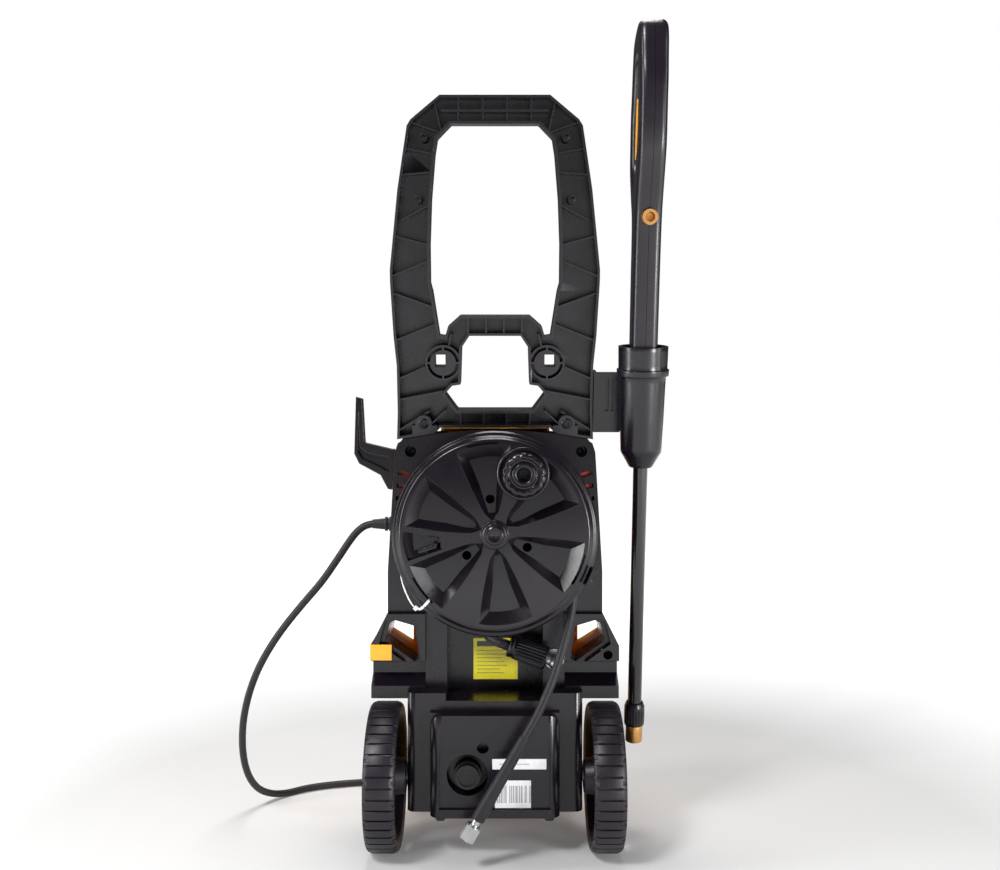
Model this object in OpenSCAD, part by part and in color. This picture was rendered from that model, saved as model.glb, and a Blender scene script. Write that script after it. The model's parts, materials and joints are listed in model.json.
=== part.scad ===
// Upright electric pressure washer with a hose reel, spray gun and holder.
// Millimetres. +Z is up, -Y is the reel side (rear), +X is the gun side.
// The design frame has X = 0 on the body's middle plane, Y = 0 on the wheel axle
// and Z = 0 on the floor; place() then moves it to the middle of the footprint.

/* [Body] */
// Half width of the shell at its top
body_top_half = 120; // [100:1:128]
// Half width of the shell above the wings
body_half = 130; // [124:1:136]
// Half width over the wings
wing_half = 149; // [142:1:156]
// Half width of the lower body between the wheels
base_half = 104; // [90:1:106]
// Height of the shell's top edge at the sides
shell_top = 488; // [470:1:495]
// Height of the underside of the body
body_bottom = 50; // [46:1:54]
// Wall thickness of the mouldings
wall = 3; // [2.5:0.5:4]
// Plane where rear and front shell meet
split_y = 60; // [56:1:70]
// Front face of the wings
wing_front_y = 158; // [150:1:170]
// Foremost point of the front shell
front_y = 200; // [190:1:215]

/* [Wheels] */
// Wheel radius
wheel_r = 87; // [80:1:87]
// Wheel width
wheel_w = 37; // [30:1:37]
// Axle radius
axle_r = 6; // [5:0.5:8]

/* [Reel] */
// Height of the reel's axis
reel_z = 382.7; // [380:0.1:390]
// Outer radius of the front flange
flange_r = 117; // [110:0.5:118]
// Distance of the front flange's face from the axle plane
reel_front = 78; // [74:1:82]
// Radius of the drum that carries the hose
drum_r = 52; // [48:1:56]
// Distance of the crank knob from the reel's axis
knob_reach = 76; // [65:1:80]
// Angle of the crank knob, from +X towards +Z
knob_angle = 65; // [0:1:90]

/* [Handle] */
// Lean of the handle and of the gun towards the reel side, in degrees
lean = 10.5; // [8:0.5:12]
// Depth of the handle frame
frame_depth = 30; // [24:1:34]
// Height of the handle above its foot, along its lean
frame_top = 404; // [380:1:420]

/* [Gun] */
// Sideways place of the gun and lance
gun_x = 173; // [170:1:180]
// Lance radius
lance_r = 8.5; // [7:0.5:9]
// Half thickness of the gun
gun_half = 15; // [13:0.5:16]

/* [Hose and cord] */
// High-pressure hose diameter
hose_d = 10; // [9:0.5:10]
// Mains cord diameter
cord_d = 9; // [8:0.5:9]

/* [Hidden] */
$fn = 64;
mid_x = 15.75;
mid_y = 44.65;
gap = 0.3;
// Radial clearance of a shaft in its hole
fit = 0.08;

// Body heights and depths
rear_y = 14;
channel_y = 46;
channel_half = 58;
column_half = 84;
ledge_z = 169;
gland_z = 385;
inlet_x = -32;
inlet_z = 99;
inlet_floor = -15.4;
outlet_x = 71.6;
outlet_z = 224;
ledge_rise = 12;
lower_rear_y = -18;
box_rear_y = -40;
box_half = 76;
wing_bottom = 178;
flare_z = 278;
wing_z = 242;
wing_screw_x = 135.5;
wing_screw_z = 231;
crown = 13;
front_top = 506;
front_top_half = 68;

// Handle: foot of the frame and its mid plane
frame_y = 32;
frame_z = 490;

// Gun: the point where its axis leaves the holder's lower end
gun_y = -8;
gun_z = 454;
pivot_y = 6;
pivot_z = 322;

// Reel, measured from the axle plane towards the reel side
drum_back = -4;
drum_front = 62;
back_flange_r = 113;
knob_x = knob_reach * cos(knob_angle);
knob_up = knob_reach * sin(knob_angle);
petal_angles = [for (k = [0 : 5]) 37.5 + 60 * k];
hole_angles = [for (k = [0 : 2]) 97.5 + 120 * k];

// Hose winding: three layers of six turns
wound_inner = drum_r + gap;
wound_outer = wound_inner + 31.5;

// Free end of the hose, from the winding down to its fitting
hose_route = [
    [89.5, -40, 388], [91, -43, 366], [92, -46, 344], [91.5, -50, 322], [88.8, -54, 300],
    [84.8, -58, 280], [79.8, -61, 261], [73.5, -64, 240], [66.2, -66.5, 218], [57.4, -68.6, 197],
    [47, -69.6, 175], [34.6, -70, 153]
];
hose_end = [34.6, -70, 153];
hose_dir = [-0.5, 0, -0.866];

// Mains cord, from the gland to the floor and round behind the front of the body
cord_route = [
    [-152, 42, 385], [-162, 42, 382], [-172, 42, 374], [-182, 42, 361], [-196, 42, 340],
    [-215, 42, 313], [-238, 42, 286], [-260, 43, 259], [-279, 46, 232], [-296, 52, 202],
    [-309, 60, 170], [-318, 70, 137], [-323, 83, 104], [-324, 98, 73], [-321, 116, 46],
    [-314, 137, 25], [-302, 160, 11], [-286, 180, 4.9], [-264, 198, 4.8], [-238, 211, 4.8],
    [-208, 220, 4.8], [-175, 226, 4.8], [-140, 229.5, 4.8], [-105, 231, 4.8], [-70, 231.5, 4.8],
    [-38, 231.5, 4.8]
];

// Coil that holds the rest of the cord, and the plug beside it
coil_at = [-38, 309, 0];
coil_r = 54;
coil_half = 18.5;
coil_h = 37;
plug_at = [64, 330, 16];

module place() translate([-mid_x, -mid_y, 0]) children();

// A flat shape in X and Z, made solid from y0 to y1
module along_y(y0, y1) translate([0, y1, 0]) rotate([90, 0, 0]) linear_extrude(y1 - y0) children();

// A flat shape in Y and Z, made solid from x0 to x1
module along_x(x0, x1) translate([x0, 0, 0]) rotate([90, 0, 90]) linear_extrude(x1 - x0) children();

module both_sides() {
    children();
    mirror([1, 0, 0]) children();
}

// A rectangle with round corners, between two corner points
module round_rect(x0, z0, x1, z1, r) {
    translate([x0 + r, z0]) square([x1 - x0 - 2 * r, z1 - z0]);
    translate([x0, z0 + r]) square([x1 - x0, z1 - z0 - 2 * r]);
    for (x = [x0 + r, x1 - r], z = [z0 + r, z1 - r]) translate([x, z]) circle(r, $fn = 32);
}

// A cylinder from y = a to y = b whose axis runs along Y
module rod_y(x, z, a, b, r) translate([x, b, z]) rotate([90, 0, 0]) cylinder(r = r, h = b - a);

// A cylinder from x = a to x = b whose axis runs along X
module rod_x(y, z, a, b, r) translate([a, y, z]) rotate([0, 90, 0]) cylinder(r = r, h = b - a);

// A round bar between two points
module bar(p, q, r) {
    d = q - p;
    translate(p) rotate([0, acos(d[2] / norm(d)), atan2(d[1], d[0])]) cylinder(r = r, h = norm(d), $fn = 32);
}

// Sweeps a round tube along points as one closed polyhedron
function unit(v) = v / norm(v);
function along(p, i) = unit(p[min(i + 1, len(p) - 1)] - p[max(i - 1, 0)]);
function ring(p, t, r, n) = let (
        side = unit(cross(t, abs(t[2]) < 0.9 ? [0, 0, 1] : [1, 0, 0])),
        over = cross(side, t)
    ) [for (k = [0 : n - 1]) p + r * (cos(360 * k / n) * side + sin(360 * k / n) * over)];
module tube(p, r, n = 10) {
    m = len(p);
    rings = [for (i = [0 : m - 1]) ring(p[i], along(p, i), r, n)];
    points = [for (i = [0 : m - 1], k = [0 : n - 1]) rings[i][k]];
    walls = [for (i = [0 : m - 2], k = [0 : n - 1]) [
        i * n + k, i * n + (k + 1) % n, (i + 1) * n + (k + 1) % n, (i + 1) * n + k
    ]];
    first = [for (k = [n - 1 : -1 : 0]) k];
    last = [for (k = [0 : n - 1]) (m - 1) * n + k];
    polyhedron(points, concat(walls, [first], [last]));
}

// Fills a route in with points on smooth curves, so that the tube bends evenly
function blend(a, b, c, d, t) = 0.5 * (2 * b + (c - a) * t + (2 * a - 5 * b + 4 * c - d) * t * t
    + (3 * b - a - 3 * c + d) * t * t * t);
function smooth(p, n) = let (m = len(p)) concat([for (i = [0 : m - 2], k = [0 : n - 1])
    blend(p[max(i - 1, 0)], p[i], p[i + 1], p[min(i + 2, m - 1)], k / n)], [p[m - 1]]);

// ---------------------------------------------------------------- body shells

// Upper body seen from behind, shrunk by t; below the flare it is only the columns
module upper_outline(t = 0) {
    side = [
        [column_half - t, wing_bottom - 8], [column_half - t, flare_z + t], [body_half - t, flare_z + t],
        [body_half - t, 330], [body_top_half + 1.5 - t, shell_top - 14 - t / 2],
        [body_top_half - 2 - t, shell_top - 3 - t], [body_top_half - 9 - t, shell_top + 1.5 - t],
        [front_top_half, shell_top + 9 - t],
        [24, shell_top + crown - t]
    ];
    n = len(side);
    polygon(concat(side, [for (i = [n - 1 : -1 : 0]) [-side[i][0], side[i][1]]]));
}

// One wing seen from behind, right side, shrunk by t but left open to the columns
module wing_outline(t = 0) polygon([
    [column_half - 2 * t, wing_bottom + t], [wing_half - t, wing_bottom + t], [wing_half - t, wing_z],
    [body_half - t, flare_z + 2 - t], [column_half - 2 * t, flare_z + 2 - t]
]);

// The hand hole through a wing, right side, made larger by low downwards and by out sideways
module hand_hole(low = 0, out = 0) polygon([
    [97, 264], [121, 271], [127 + out, 268], [133 + out, 246 - low], [97, 221 - low], [91, 224 - low]
]);
module hand_hole_rim(low = 0, out = 0) polygon([
    [93, 268], [121, 276], [132 + out, 272], [139 + out, 244 - low], [97, 214 - low], [86, 219 - low]
]);

// The wing's rear in side view, with the step and the sloping shelf above the wheel
module wing_side(t = 0) polygon([
    [2 + t, flare_z + 2 - t], [2 + t, 224 + 1.4 * t], [26 + t, 218 + 1.4 * t], [26 + t, 205 - t],
    [6 + t, 193 - t], [6 + t, wing_bottom + t], [split_y + 1, wing_bottom + t],
    [split_y + 1, flare_z + 2 - t]
]);

module lower_outline(t = 0) polygon([
    [-base_half + t, body_bottom + t], [-base_half + t, 190 - t], [base_half - t, 190 - t],
    [base_half - t, body_bottom + t]
]);

// A space whose two upright corners at the rear, at y and at +-half, are round
module rear_corners(half, y, r) translate([0, 0, body_bottom - 20]) linear_extrude(200) union() {
    translate([-half, y + r]) square([2 * half, 120]);
    translate([r - half, y]) square([2 * (half - r), 120]);
    for (s = [-1, 1]) translate([s * (half - r), y + r]) circle(r);
}

// The box that stands out over the foot of the channel
module box_solid(t = 0) intersection() {
    union() {
        along_y(box_rear_y + t, lower_rear_y + 4) round_rect(-box_half + t, body_bottom - 12 + t,
            box_half - t, ledge_z - t, 14 - t / 2);
        // Sloping top from the box to the channel's floor
        along_x(-box_half + t, box_half - t) polygon([
            [box_rear_y + 12, ledge_z - 30], [box_rear_y + 14 + t, ledge_z - t],
            [channel_y + 6, ledge_z + ledge_rise - t], [channel_y + 6, ledge_z - 30]
        ]);
    }
    rear_corners(box_half - t, box_rear_y + t, 14 - t);
}

module rear_solid(t = 0) {
    along_y(rear_y + t, split_y + (t > 0 ? 1 : 0)) upper_outline(t);
    both_sides() intersection() {
        along_y(0, split_y + (t > 0 ? 1 : 0)) wing_outline(t);
        along_x(column_half + t, 150) wing_side(t);
    }
    // the hollow of a wing opens into the column beside it
    if (t > 0) both_sides() intersection() {
        along_y(rear_y + t, split_y + 1) wing_outline(t);
        along_x(column_half - 2 * t, column_half + 2 * t) wing_side(t);
    }
    intersection() {
        along_y(lower_rear_y + t, split_y + (t > 0 ? 1 : 0)) lower_outline(t);
        rear_corners(base_half - t, lower_rear_y + t, 10 - t);
    }
    box_solid(t);
}

module vent_slots() both_sides() for (i = [0 : 2]) translate([111 + 2.4 * i, 0, 448 - 15 * i])
    rotate([0, -18 + 6 * i, 0]) cube([14 - 2.5 * i, 40, 5.5], center = true);

module rear_shell() color("#26242a") difference() {
    union() {
        difference() {
            rear_solid();
            difference() {
                rear_solid(wall);
                // keep the channel's walls and the tunnels of the hand holes
                translate([-channel_half - wall, -60, ledge_z]) cube([2 * (channel_half + wall),
                    60 + channel_y + wall, 400]);
                both_sides() along_y(-30, split_y) hand_hole_rim();
                for (x = [-102.5, 104.8]) rod_y(x, 475, 0, split_y, 11);
                rod_y(wing_screw_x, wing_screw_z, 0, split_y, 8.6);
                // floor of the recessed panel and the well behind it
                translate([-68, box_rear_y, 57]) cube([136, 7.5, 75]);
                rod_y(inlet_x, inlet_z, box_rear_y, inlet_floor + wall, 27);
                rod_y(-14, 131, box_rear_y, box_rear_y + 23, 10);
            }
            translate([-base_half - 1, -60, 0]) cube([2 * base_half + 2, 200, body_bottom]);
            // underside is open, the base plate closes it
            intersection() {
                translate([-base_half, lower_rear_y, body_bottom - 1]) cube([2 * base_half, 100, 6]);
                rear_corners(base_half - wall, lower_rear_y + wall, 10 - wall);
            }
        }
        // rim that closes the gap behind the handle's foot
        both_sides() along_y(49.5, split_y) polygon([
            [60, shell_top - 12], [60, shell_top + 13], [111, shell_top + 8], [117, shell_top],
            [117, shell_top - 12]
        ]);
        // feet at the corners of the box
        both_sides() along_y(box_rear_y + 9, box_rear_y + 23) polygon([
            [52, body_bottom + 3], [60, 44], [68, 44], [box_half - 1, body_bottom + 8]
        ]);
    }
    // channel behind the reel
    translate([-channel_half, -60, ledge_z + ledge_rise]) cube([2 * channel_half, 60 + channel_y, 290]);
    // recessed panel and the round well of the water inlet
    translate([-65, box_rear_y - 1, 60]) cube([130, 5, 69]);
    rod_y(inlet_x, inlet_z, box_rear_y - 1, inlet_floor, 24);
    rod_y(inlet_x, inlet_z, box_rear_y, inlet_floor + 10, 6.2);
    rod_y(-14, 131, box_rear_y - 1, box_rear_y + 20, 7);
    both_sides() along_y(-1, split_y + 2) hand_hole();
    both_sides() along_y(-1, 12) hand_hole_rim();
    // screw wells
    for (x = [-102.5, 104.8]) rod_y(x, 475, 0, 40, 6.8);
    rod_y(wing_screw_x, wing_screw_z, -1, 26, 5.6);
    vent_slots();
    // cord entry, outlet and axle
    rod_x(42, gland_z, -140, -100, 6);
    rod_y(outlet_x, outlet_z, -10, split_y, 8.5);
    rod_x(0, wheel_r, -base_half - 5, base_half + 5, axle_r + fit);
}

// Red lining behind the vent slots, standing off the rear wall on two ribs
module vent_ducts() color("#b3260f") both_sides() {
    along_y(rear_y + wall + 3, rear_y + wall + 6) round_rect(99, 409, 118, 458, 3);
    for (z = [409.5, 455.5]) along_y(rear_y + wall, rear_y + wall + 3.1) round_rect(101, z, 117, z + 2, 0.8);
}

module front_outline(t = 0) {
    upper_outline(t);
    translate([-front_top_half + t, shell_top - 30]) square([2 * (front_top_half - t),
        front_top - shell_top + 30 - t]);
    both_sides() wing_outline(t);
    lower_outline(t);
}

module front_bulge(t = 0) hull() {
    along_y(wing_front_y - 1 - 1.5 * t, wing_front_y)
        round_rect(-112 + t, body_bottom + t, 112 - t, 482 - t, 26);
    along_y(front_y - 2 - t, front_y - t) round_rect(-84 + t, 80 + t, 84 - t, 446 - t, 34);
}

module front_shell() color("#f9ae28") difference() {
    union() {
        along_y(split_y, wing_front_y) front_outline();
        front_bulge();
        // legs of the front feet
        both_sides() along_y(wing_front_y - 34, wing_front_y - 4) polygon([
            [62, body_bottom + 4], [68, 14], [94, 14], [100, body_bottom + 4]
        ]);
    }
    difference() {
        along_y(split_y - 1, wing_front_y - wall) front_outline(wall);
        both_sides() along_y(split_y - 2, wing_front_y) hand_hole_rim(10, 4);
    }
    front_bulge(wall);
    translate([-base_half + wall, split_y - 1, body_bottom - 1]) cube([2 * (base_half - wall),
        wing_front_y - 40 - split_y, 6]);
    both_sides() along_y(split_y - 1, wing_front_y + 2) hand_hole(10, 4);
    // window of the grille and hole of the switch
    translate([-52, front_y - 30, 130]) cube([104, 40, 150]);
    rod_y(0, 372, front_y - 30, front_y + 2, 17);
}

module front_grille() color("#1c1b1f") difference() {
    along_y(front_y - 6, front_y + 3) round_rect(-60, 122, 60, 288, 10);
    translate([-51.7, front_y - 7, 130.3]) cube([103.4, 3, 149.4]);
    for (i = [0 : 8]) translate([-46, front_y - 8, 138 + 16 * i]) cube([92, 20, 7]);
    // rear rebate lets the rim lie on the shell's face
    difference() {
        along_y(front_y - 7, front_y) round_rect(-61, 121, 61, 289, 10);
        translate([-51.7, front_y - 8, 130.3]) cube([103.4, 10, 149.4]);
    }
}

module base_plate() color("#1c1b1f") difference() {
    union() {
        intersection() {
            translate([-base_half, lower_rear_y, body_bottom])
                cube([2 * base_half, wing_front_y - 41 - lower_rear_y, 4]);
            rear_corners(base_half - wall - gap, lower_rear_y + wall + gap, 10 - wall - gap);
        }
        translate([-51, box_rear_y + wall + gap, body_bottom]) cube([102, 30, 4]);
    }
    for (x = [-60 : 20 : 60]) translate([x - 3, 20, body_bottom - 1]) cube([6, 60, 6]);
}

module front_feet() color("#151517") both_sides() difference() {
    along_y(wing_front_y - 35, wing_front_y - 3) round_rect(66, 0, 96, 14, 3);
    translate([81, wing_front_y - 19, -1]) cylinder(r = 4, h = 7);
}

// A screw whose head faces the reel side
module screw_y(x, z, y, head_r, length) {
    difference() {
        rod_y(x, z, y, y + 3, head_r);
        for (a = [0, 90]) translate([x, y, z]) rotate([0, a, 0])
            cube([head_r * 1.2, 2.4, 1.1], center = true);
    }
    rod_y(x, z, y + 2.9, y + length, head_r * 0.5);
}

module case_screws() color("#3a3a3e") {
    for (x = [-102.5, 104.8]) screw_y(x, 475, 37, 4.6, 3);
    screw_y(wing_screw_x, wing_screw_z, 23, 4.2, 3);
}

// ---------------------------------------------------------------- handle

module on_frame() translate([0, frame_y, frame_z]) rotate([lean, 0, 0]) children();

module frame_outline() polygon([
    [63.5, frame_top], [97, 377], [101.5, 370], [113.5, 298], [124, 206], [124, 191], [121, 128],
    [117.8, 92], [117.6, 36], [119, 2.5], [74, 9.5], [66, 17], [-66, 17], [-74, 9.5], [-119, 2.5],
    [-117.6, 36], [-117.8, 92], [-121, 128], [-124, 191], [-124, 206], [-113.5, 298],
    [-101.5, 370], [-97, 377], [-63.5, frame_top]
]);

module upper_opening() polygon([
    [51, 372], [67, 356], [70, 338], [74.7, 287], [77, 235], [77, 190], [74.5, 181], [66.6, 128],
    [59.6, 127], [56, 139], [41.7, 151.6], [-41.7, 151.6], [-56, 139], [-59.6, 127],
    [-66.6, 128], [-74.5, 181], [-77, 190], [-77, 235], [-74.7, 287], [-70, 338], [-67, 356], [-51, 372]
]);

module lower_opening() polygon([
    [30.5, 128], [39.8, 114], [41.5, 69.5], [51.6, 68], [60.3, 58], [45.4, 37.5],
    [-45.4, 37.5], [-60.3, 58], [-51.6, 68], [-41.5, 69.5], [-39.8, 114], [-30.5, 128]
]);

module frame_face() difference() {
    frame_outline();
    upper_opening();
    lower_opening();
}

// One web between two points of the frame, t thick
module web(p, q, t = 2) {
    d = q - p;
    translate(p) rotate(atan2(d[1], d[0])) translate([0, -t / 2]) square([norm(d), t]);
}

module frame_webs() {
    both_sides() {
        web([110, 263], [74, 282]);
        web([117, 244.5], [74, 233.5]);
        web([124, 197.5], [75, 217.5]);
        web([124, 179.5], [72, 161]);
        web([121, 121.5], [62, 145]);
        web([112, 315], [72, 318]);
        web([106, 345], [68, 338]);
        web([97, 374], [62, 362]);
        web([118, 75], [84, 90]);
        web([118, 50], [56, 62]);
        web([118, 12], [80, 36]);
        web([95, 4], [60, 37]);
        web([52, 130], [58, 104]);
        web([60, 356], [70, 398]);
        web([83, 390], [100, 372]);
    }
    for (x = [-42, -14, 14, 42]) {
        web([x, 370], [x, frame_top - 1]);
        web([x * 0.76, 129], [x * 0.76, 151]);
        web([x, 17], [x, 38]);
    }
    // the long web along the middle of the top bar
    web([-62, 387], [62, 387], 3);
}

module frame_bosses() both_sides() {
    translate([62.3, 95.5]) circle(21.5);
    translate([82.7, 356.6]) circle(5);
    translate([90.3, 286.5]) circle(5);
}

module handle_frame() color("#2a282d") on_frame() difference() {
    union() {
        // rim wall all the way round the face, and the webs inside it
        along_y(-frame_depth / 2, frame_depth / 2 - 3 - gap) difference() {
            frame_face();
            offset(delta = -wall) frame_face();
        }
        along_y(-frame_depth / 2 + 4, frame_depth / 2 - 3 - gap) intersection() {
            frame_webs();
            frame_face();
        }
        along_y(-frame_depth / 2 + 1, frame_depth / 2 - 3 - gap) intersection() {
            frame_bosses();
            frame_face();
        }
        // floor of the channel
        along_y(frame_depth / 2 - 6, frame_depth / 2 - 3 - gap) frame_face();
        // ears that bolt to the shell
        both_sides() along_y(-frame_depth / 2 - 3, -frame_depth / 2 + 8) union() {
            translate([86.5, 22.5]) circle(10);
            polygon([[70, 12], [100, 7], [100, 20], [70, 20]]);
        }
    }
    both_sides() {
        along_y(-frame_depth / 2 - 1, frame_depth / 2 - 7) translate([62.3, 95.5]) difference() {
            circle(19);
            circle(15.5);
            square([50, 2.4], center = true);
            square([2.4, 50], center = true);
        }
        along_y(-frame_depth, frame_depth) translate([59.4, 90.5]) square([12.8, 15]);
        rod_y(86.5, 22.5, -frame_depth, -2, 3.4);
        for (p = [[82.7, 356.6], [90.3, 286.5]]) rod_y(p[0], p[1], -frame_depth, frame_depth / 2 - 8, 2.2);
    }
}

module handle_cover() color("#232126") on_frame() difference() {
    along_y(frame_depth / 2 - 3, frame_depth / 2) frame_face();
    both_sides() along_y(0, frame_depth) translate([59.4, 90.5]) square([12.8, 15]);
}

module handle_screws() color("#3a3a3e") on_frame() {
    both_sides() {
        screw_y(86.5, 22.5, -frame_depth / 2 - 6, 6.4, 6);
        for (p = [[82.7, 356.6], [90.3, 286.5]]) screw_y(p[0], p[1], -frame_depth / 2 - 2, 3.6, 4);
    }
}

// ---------------------------------------------------------------- holder, hook

module on_gun() translate([gun_x, gun_y, gun_z]) rotate([lean, 0, 0]) children();

module gun_holder() color("#1f1e22") difference() {
    union() {
        on_gun() rotate_extrude() polygon([
            [0, 4], [14, 4], [24, 22], [25.5, 60], [27, 112], [30, 113], [30.5, 120], [28.5, 121],
            [29, 147], [0, 147]
        ]);
        on_frame() {
            // plate between the frame's side and the cup, and its flange on the frame
            along_y(-19, -13) polygon([
                [118.5, 12], [118.5, 84], [150, 82], [160, 70], [160, 30], [150, 12]
            ]);
            along_y(-19, 14) translate([118.6, 12]) square([4, 72]);
            for (z = [14, 46, 80]) along_y(-16, 8) polygon([[122, z], [150, z], [150, z + 2], [122, z + 2]]);
        }
    }
    on_gun() rotate_extrude() polygon([
        [0, 0], [13.3, 0], [13.3, 14], [19.5, 26], [22, 60], [23.8, 112], [25.6, 148], [0, 148]
    ]);
    // adjusting slots of the plate
    on_frame() along_y(-30, -15) {
        translate([132, 38]) square([4.5, 40]);
        translate([139, 38]) square([3, 40]);
    }
    // the flange is cut back to the frame's side
    on_frame() along_y(-15.3, 30) polygon([[90, 5], [118, 5], [118.2, 92], [90, 92]]);
}

module cord_hook() color("#232126") difference() {
    along_y(24, 42) polygon([
        [-170, 542], [-163, 540], [-160, 486], [-126.8, 478], [-123.4, 478], [-125.9, 428],
        [-131, 429], [-140, 446], [-166, 460], [-172, 472]
    ]);
    // the hook's web is thinner than its rim
    for (y = [20, 35.5]) along_y(y, y + 10.5) polygon([
        [-166.5, 524], [-165.5, 480], [-158, 474], [-130, 468], [-130, 450], [-140, 456],
        [-162, 466], [-168, 475]
    ]);
}

// ---------------------------------------------------------------- wheels

module axle() color("#b9bbc0") rod_x(0, wheel_r, -wing_half + 3, wing_half - 3, axle_r);

module wheel(x0) translate([x0, 0, wheel_r]) rotate([0, 90, 0]) difference() {
    rotate_extrude() polygon([
        [axle_r + fit, -6], [20, -6], [22, 8], [70, 14], [73, 2], [wheel_r - 5, 0], [wheel_r - 1.5, 3],
        [wheel_r, 8], [wheel_r, wheel_w - 8], [wheel_r - 1.5, wheel_w - 3], [wheel_r - 5, wheel_w],
        [73, wheel_w], [70, wheel_w - 12], [24, wheel_w - 9], [20, wheel_w - 4], [axle_r + fit, wheel_w - 4]
    ]);
    for (a = [0 : 72 : 288]) rotate(a + 36) translate([46, 0, -1]) cylinder(r = 14, h = wheel_w + 2);
}

module wheel_left() color("#2b2a2e") mirror([1, 0, 0]) wheel(wing_half - wheel_w);
module wheel_right() color("#2b2a2e") wheel(wing_half - wheel_w);
module axle_caps() color("#1b1a1d") both_sides() rod_x(0, wheel_r, wing_half - 3, wing_half, 15);

// ---------------------------------------------------------------- ports and labels

module water_inlet() color("#2f2e33") difference() {
    union() {
        rod_y(inlet_x, inlet_z, box_rear_y + 3.2, inlet_floor, 16);
        rod_y(inlet_x, inlet_z, inlet_floor - 5.6, inlet_floor, 22);
    }
    rod_y(inlet_x, inlet_z, box_rear_y - 1, box_rear_y + 20, 9.2 + fit);
}

module inlet_cap() color("#151417") difference() {
    union() {
        rod_y(inlet_x, inlet_z, box_rear_y - 5, box_rear_y + 2.8, 14);
        rod_y(inlet_x, inlet_z, box_rear_y + 2.7, box_rear_y + 18, 9.2);
    }
    rod_y(inlet_x, inlet_z, box_rear_y - 6, box_rear_y - 3, 10.5);
}

nut_a = [16.5, -2, 243];
nut_b = [61.5, -2, 227.5];
nut_t = unit(nut_b - nut_a);

module outlet_port() color("#c9c6bd") difference() {
    union() {
        bar(nut_b - 26 * nut_t, nut_b + 8 * nut_t, 6.5);
        translate([outlet_x, nut_b[1], outlet_z]) sphere(9, $fn = 32);
        rod_y(outlet_x, outlet_z, -2, split_y - 14, 8);
        rod_y(outlet_x, outlet_z, rear_y - 1.3, rear_y - gap, 12);
    }
    bar(nut_b - 27 * nut_t, nut_b + 4 * nut_t, 3.5);
}

module hand_nut() color("#1d1c20") difference() {
    bar(nut_a, nut_b, 14.4);
    bar(nut_a - nut_t, nut_b + nut_t, 6.5 + gap);
    bar(nut_a + 14 * nut_t, nut_b - 4 * nut_t, 8.5);
    for (k = [0 : 17]) translate(nut_a + 5 * nut_t) rotate([0, acos(nut_t[2]), 0])
        rotate(20 * k) translate([14.6, 0, 0]) cylinder(r = 1, h = 38, $fn = 16);
}

module link_pipe() color("#1a191c") tube(smooth([
    nut_a + 16 * nut_t, nut_a + 4 * nut_t, nut_a - 10 * nut_t, [-4, 8, 250], [-10, 20, 254],
    [-12, 29, 268], [-10, 30, 300], [-4, 30, 328], [0, 30, 350], [0, 30, 372]
], 3), 6.2, 12);

module rating_label() color("#f2e21c") translate([-27, channel_y - 0.7, 192]) cube([55, 0.6, 51]);

module info_labels() color("#e8e8ea") {
    translate([-3, box_rear_y + 3.3, 106]) cube([63, 0.6, 12]);
    translate([0, box_rear_y + 3.3, 61]) cube([42, 0.6, 32]);
}

module cord_gland() color("#1a191c") translate([0, 42, gland_z]) rotate([0, -90, 0])
    rotate_extrude() polygon([
        [cord_d / 2 + 0.1, 124], [5.8, 124], [5.8, 128.1], [9, 128.1], [9, 131], [7, 131], [7, 133],
        [8.8, 133], [8.8, 136], [7, 136], [5.4, 152], [cord_d / 2 + 0.1, 152]
    ]);

module power_cord() color("#1a191c") tube(smooth(cord_route, 3), cord_d / 2);

module cord_coil() color("#1a191c") translate(coil_at) rotate_extrude() translate([coil_r - coil_half, 0.2])
    round_rect(0, 0, 2 * coil_half, coil_h, 8);

module plug() color("#1a191c") translate(plug_at) difference() {
    union() {
        rotate([0, 90, 90]) cylinder(r = 15.5, h = 34);
        rotate([90, 0, 0]) cylinder(r1 = 12, r2 = 6, h = 26);
        for (x = [-9.5, 9.5]) translate([x, 33, 0]) rotate([-90, 0, 0]) cylinder(r = 2.4, h = 20);
    }
    translate([-20, -30, -40]) cube([40, 90, 24.2]);
}

// ---------------------------------------------------------------- drive

motor_y = 112;
module motor_housing() color("#5d6167") difference() {
    union() {
        translate([0, motor_y, 236]) cylinder(r = 54, h = 150);
        translate([0, motor_y, 226]) cylinder(r = 48, h = 11);
        translate([0, motor_y, 385]) cylinder(r = 40, h = 10);
        for (a = [0 : 20 : 340]) translate([0, motor_y, 250]) rotate(a) translate([53, -1.5, 0])
            cube([5, 3, 122]);
    }
    translate([0, motor_y, 240]) cylinder(r = 46, h = 141);
    translate([0, motor_y, 200]) cylinder(r = 8 + fit, h = 220);
}

module motor_shaft() color("#c4c7cb") {
    translate([0, motor_y, 212]) cylinder(r = 8, h = 208);
    translate([0, motor_y, 262]) cylinder(r = 36, h = 96);
}

module cooling_fan() color("#3c3d41") difference() {
    union() {
        translate([0, motor_y, 400]) cylinder(r = 16, h = 16);
        translate([0, motor_y, 400]) cylinder(r = 48, h = 2);
        for (a = [0 : 40 : 320]) translate([0, motor_y, 401]) rotate(a) translate([14, -1, 0])
            cube([33, 2, 14]);
    }
    translate([0, motor_y, 399]) cylinder(r = 8.05, h = 20);
}

module swash_plate() color("#a7aaae") difference() {
    translate([0, motor_y, 196]) intersection() {
        cylinder(r = 34, h = 22);
        rotate([9, 0, 0]) translate([-50, -50, -10]) cube([100, 100, 24]);
    }
    translate([0, motor_y, 205]) cylinder(r = 8.05, h = 20);
}

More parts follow.
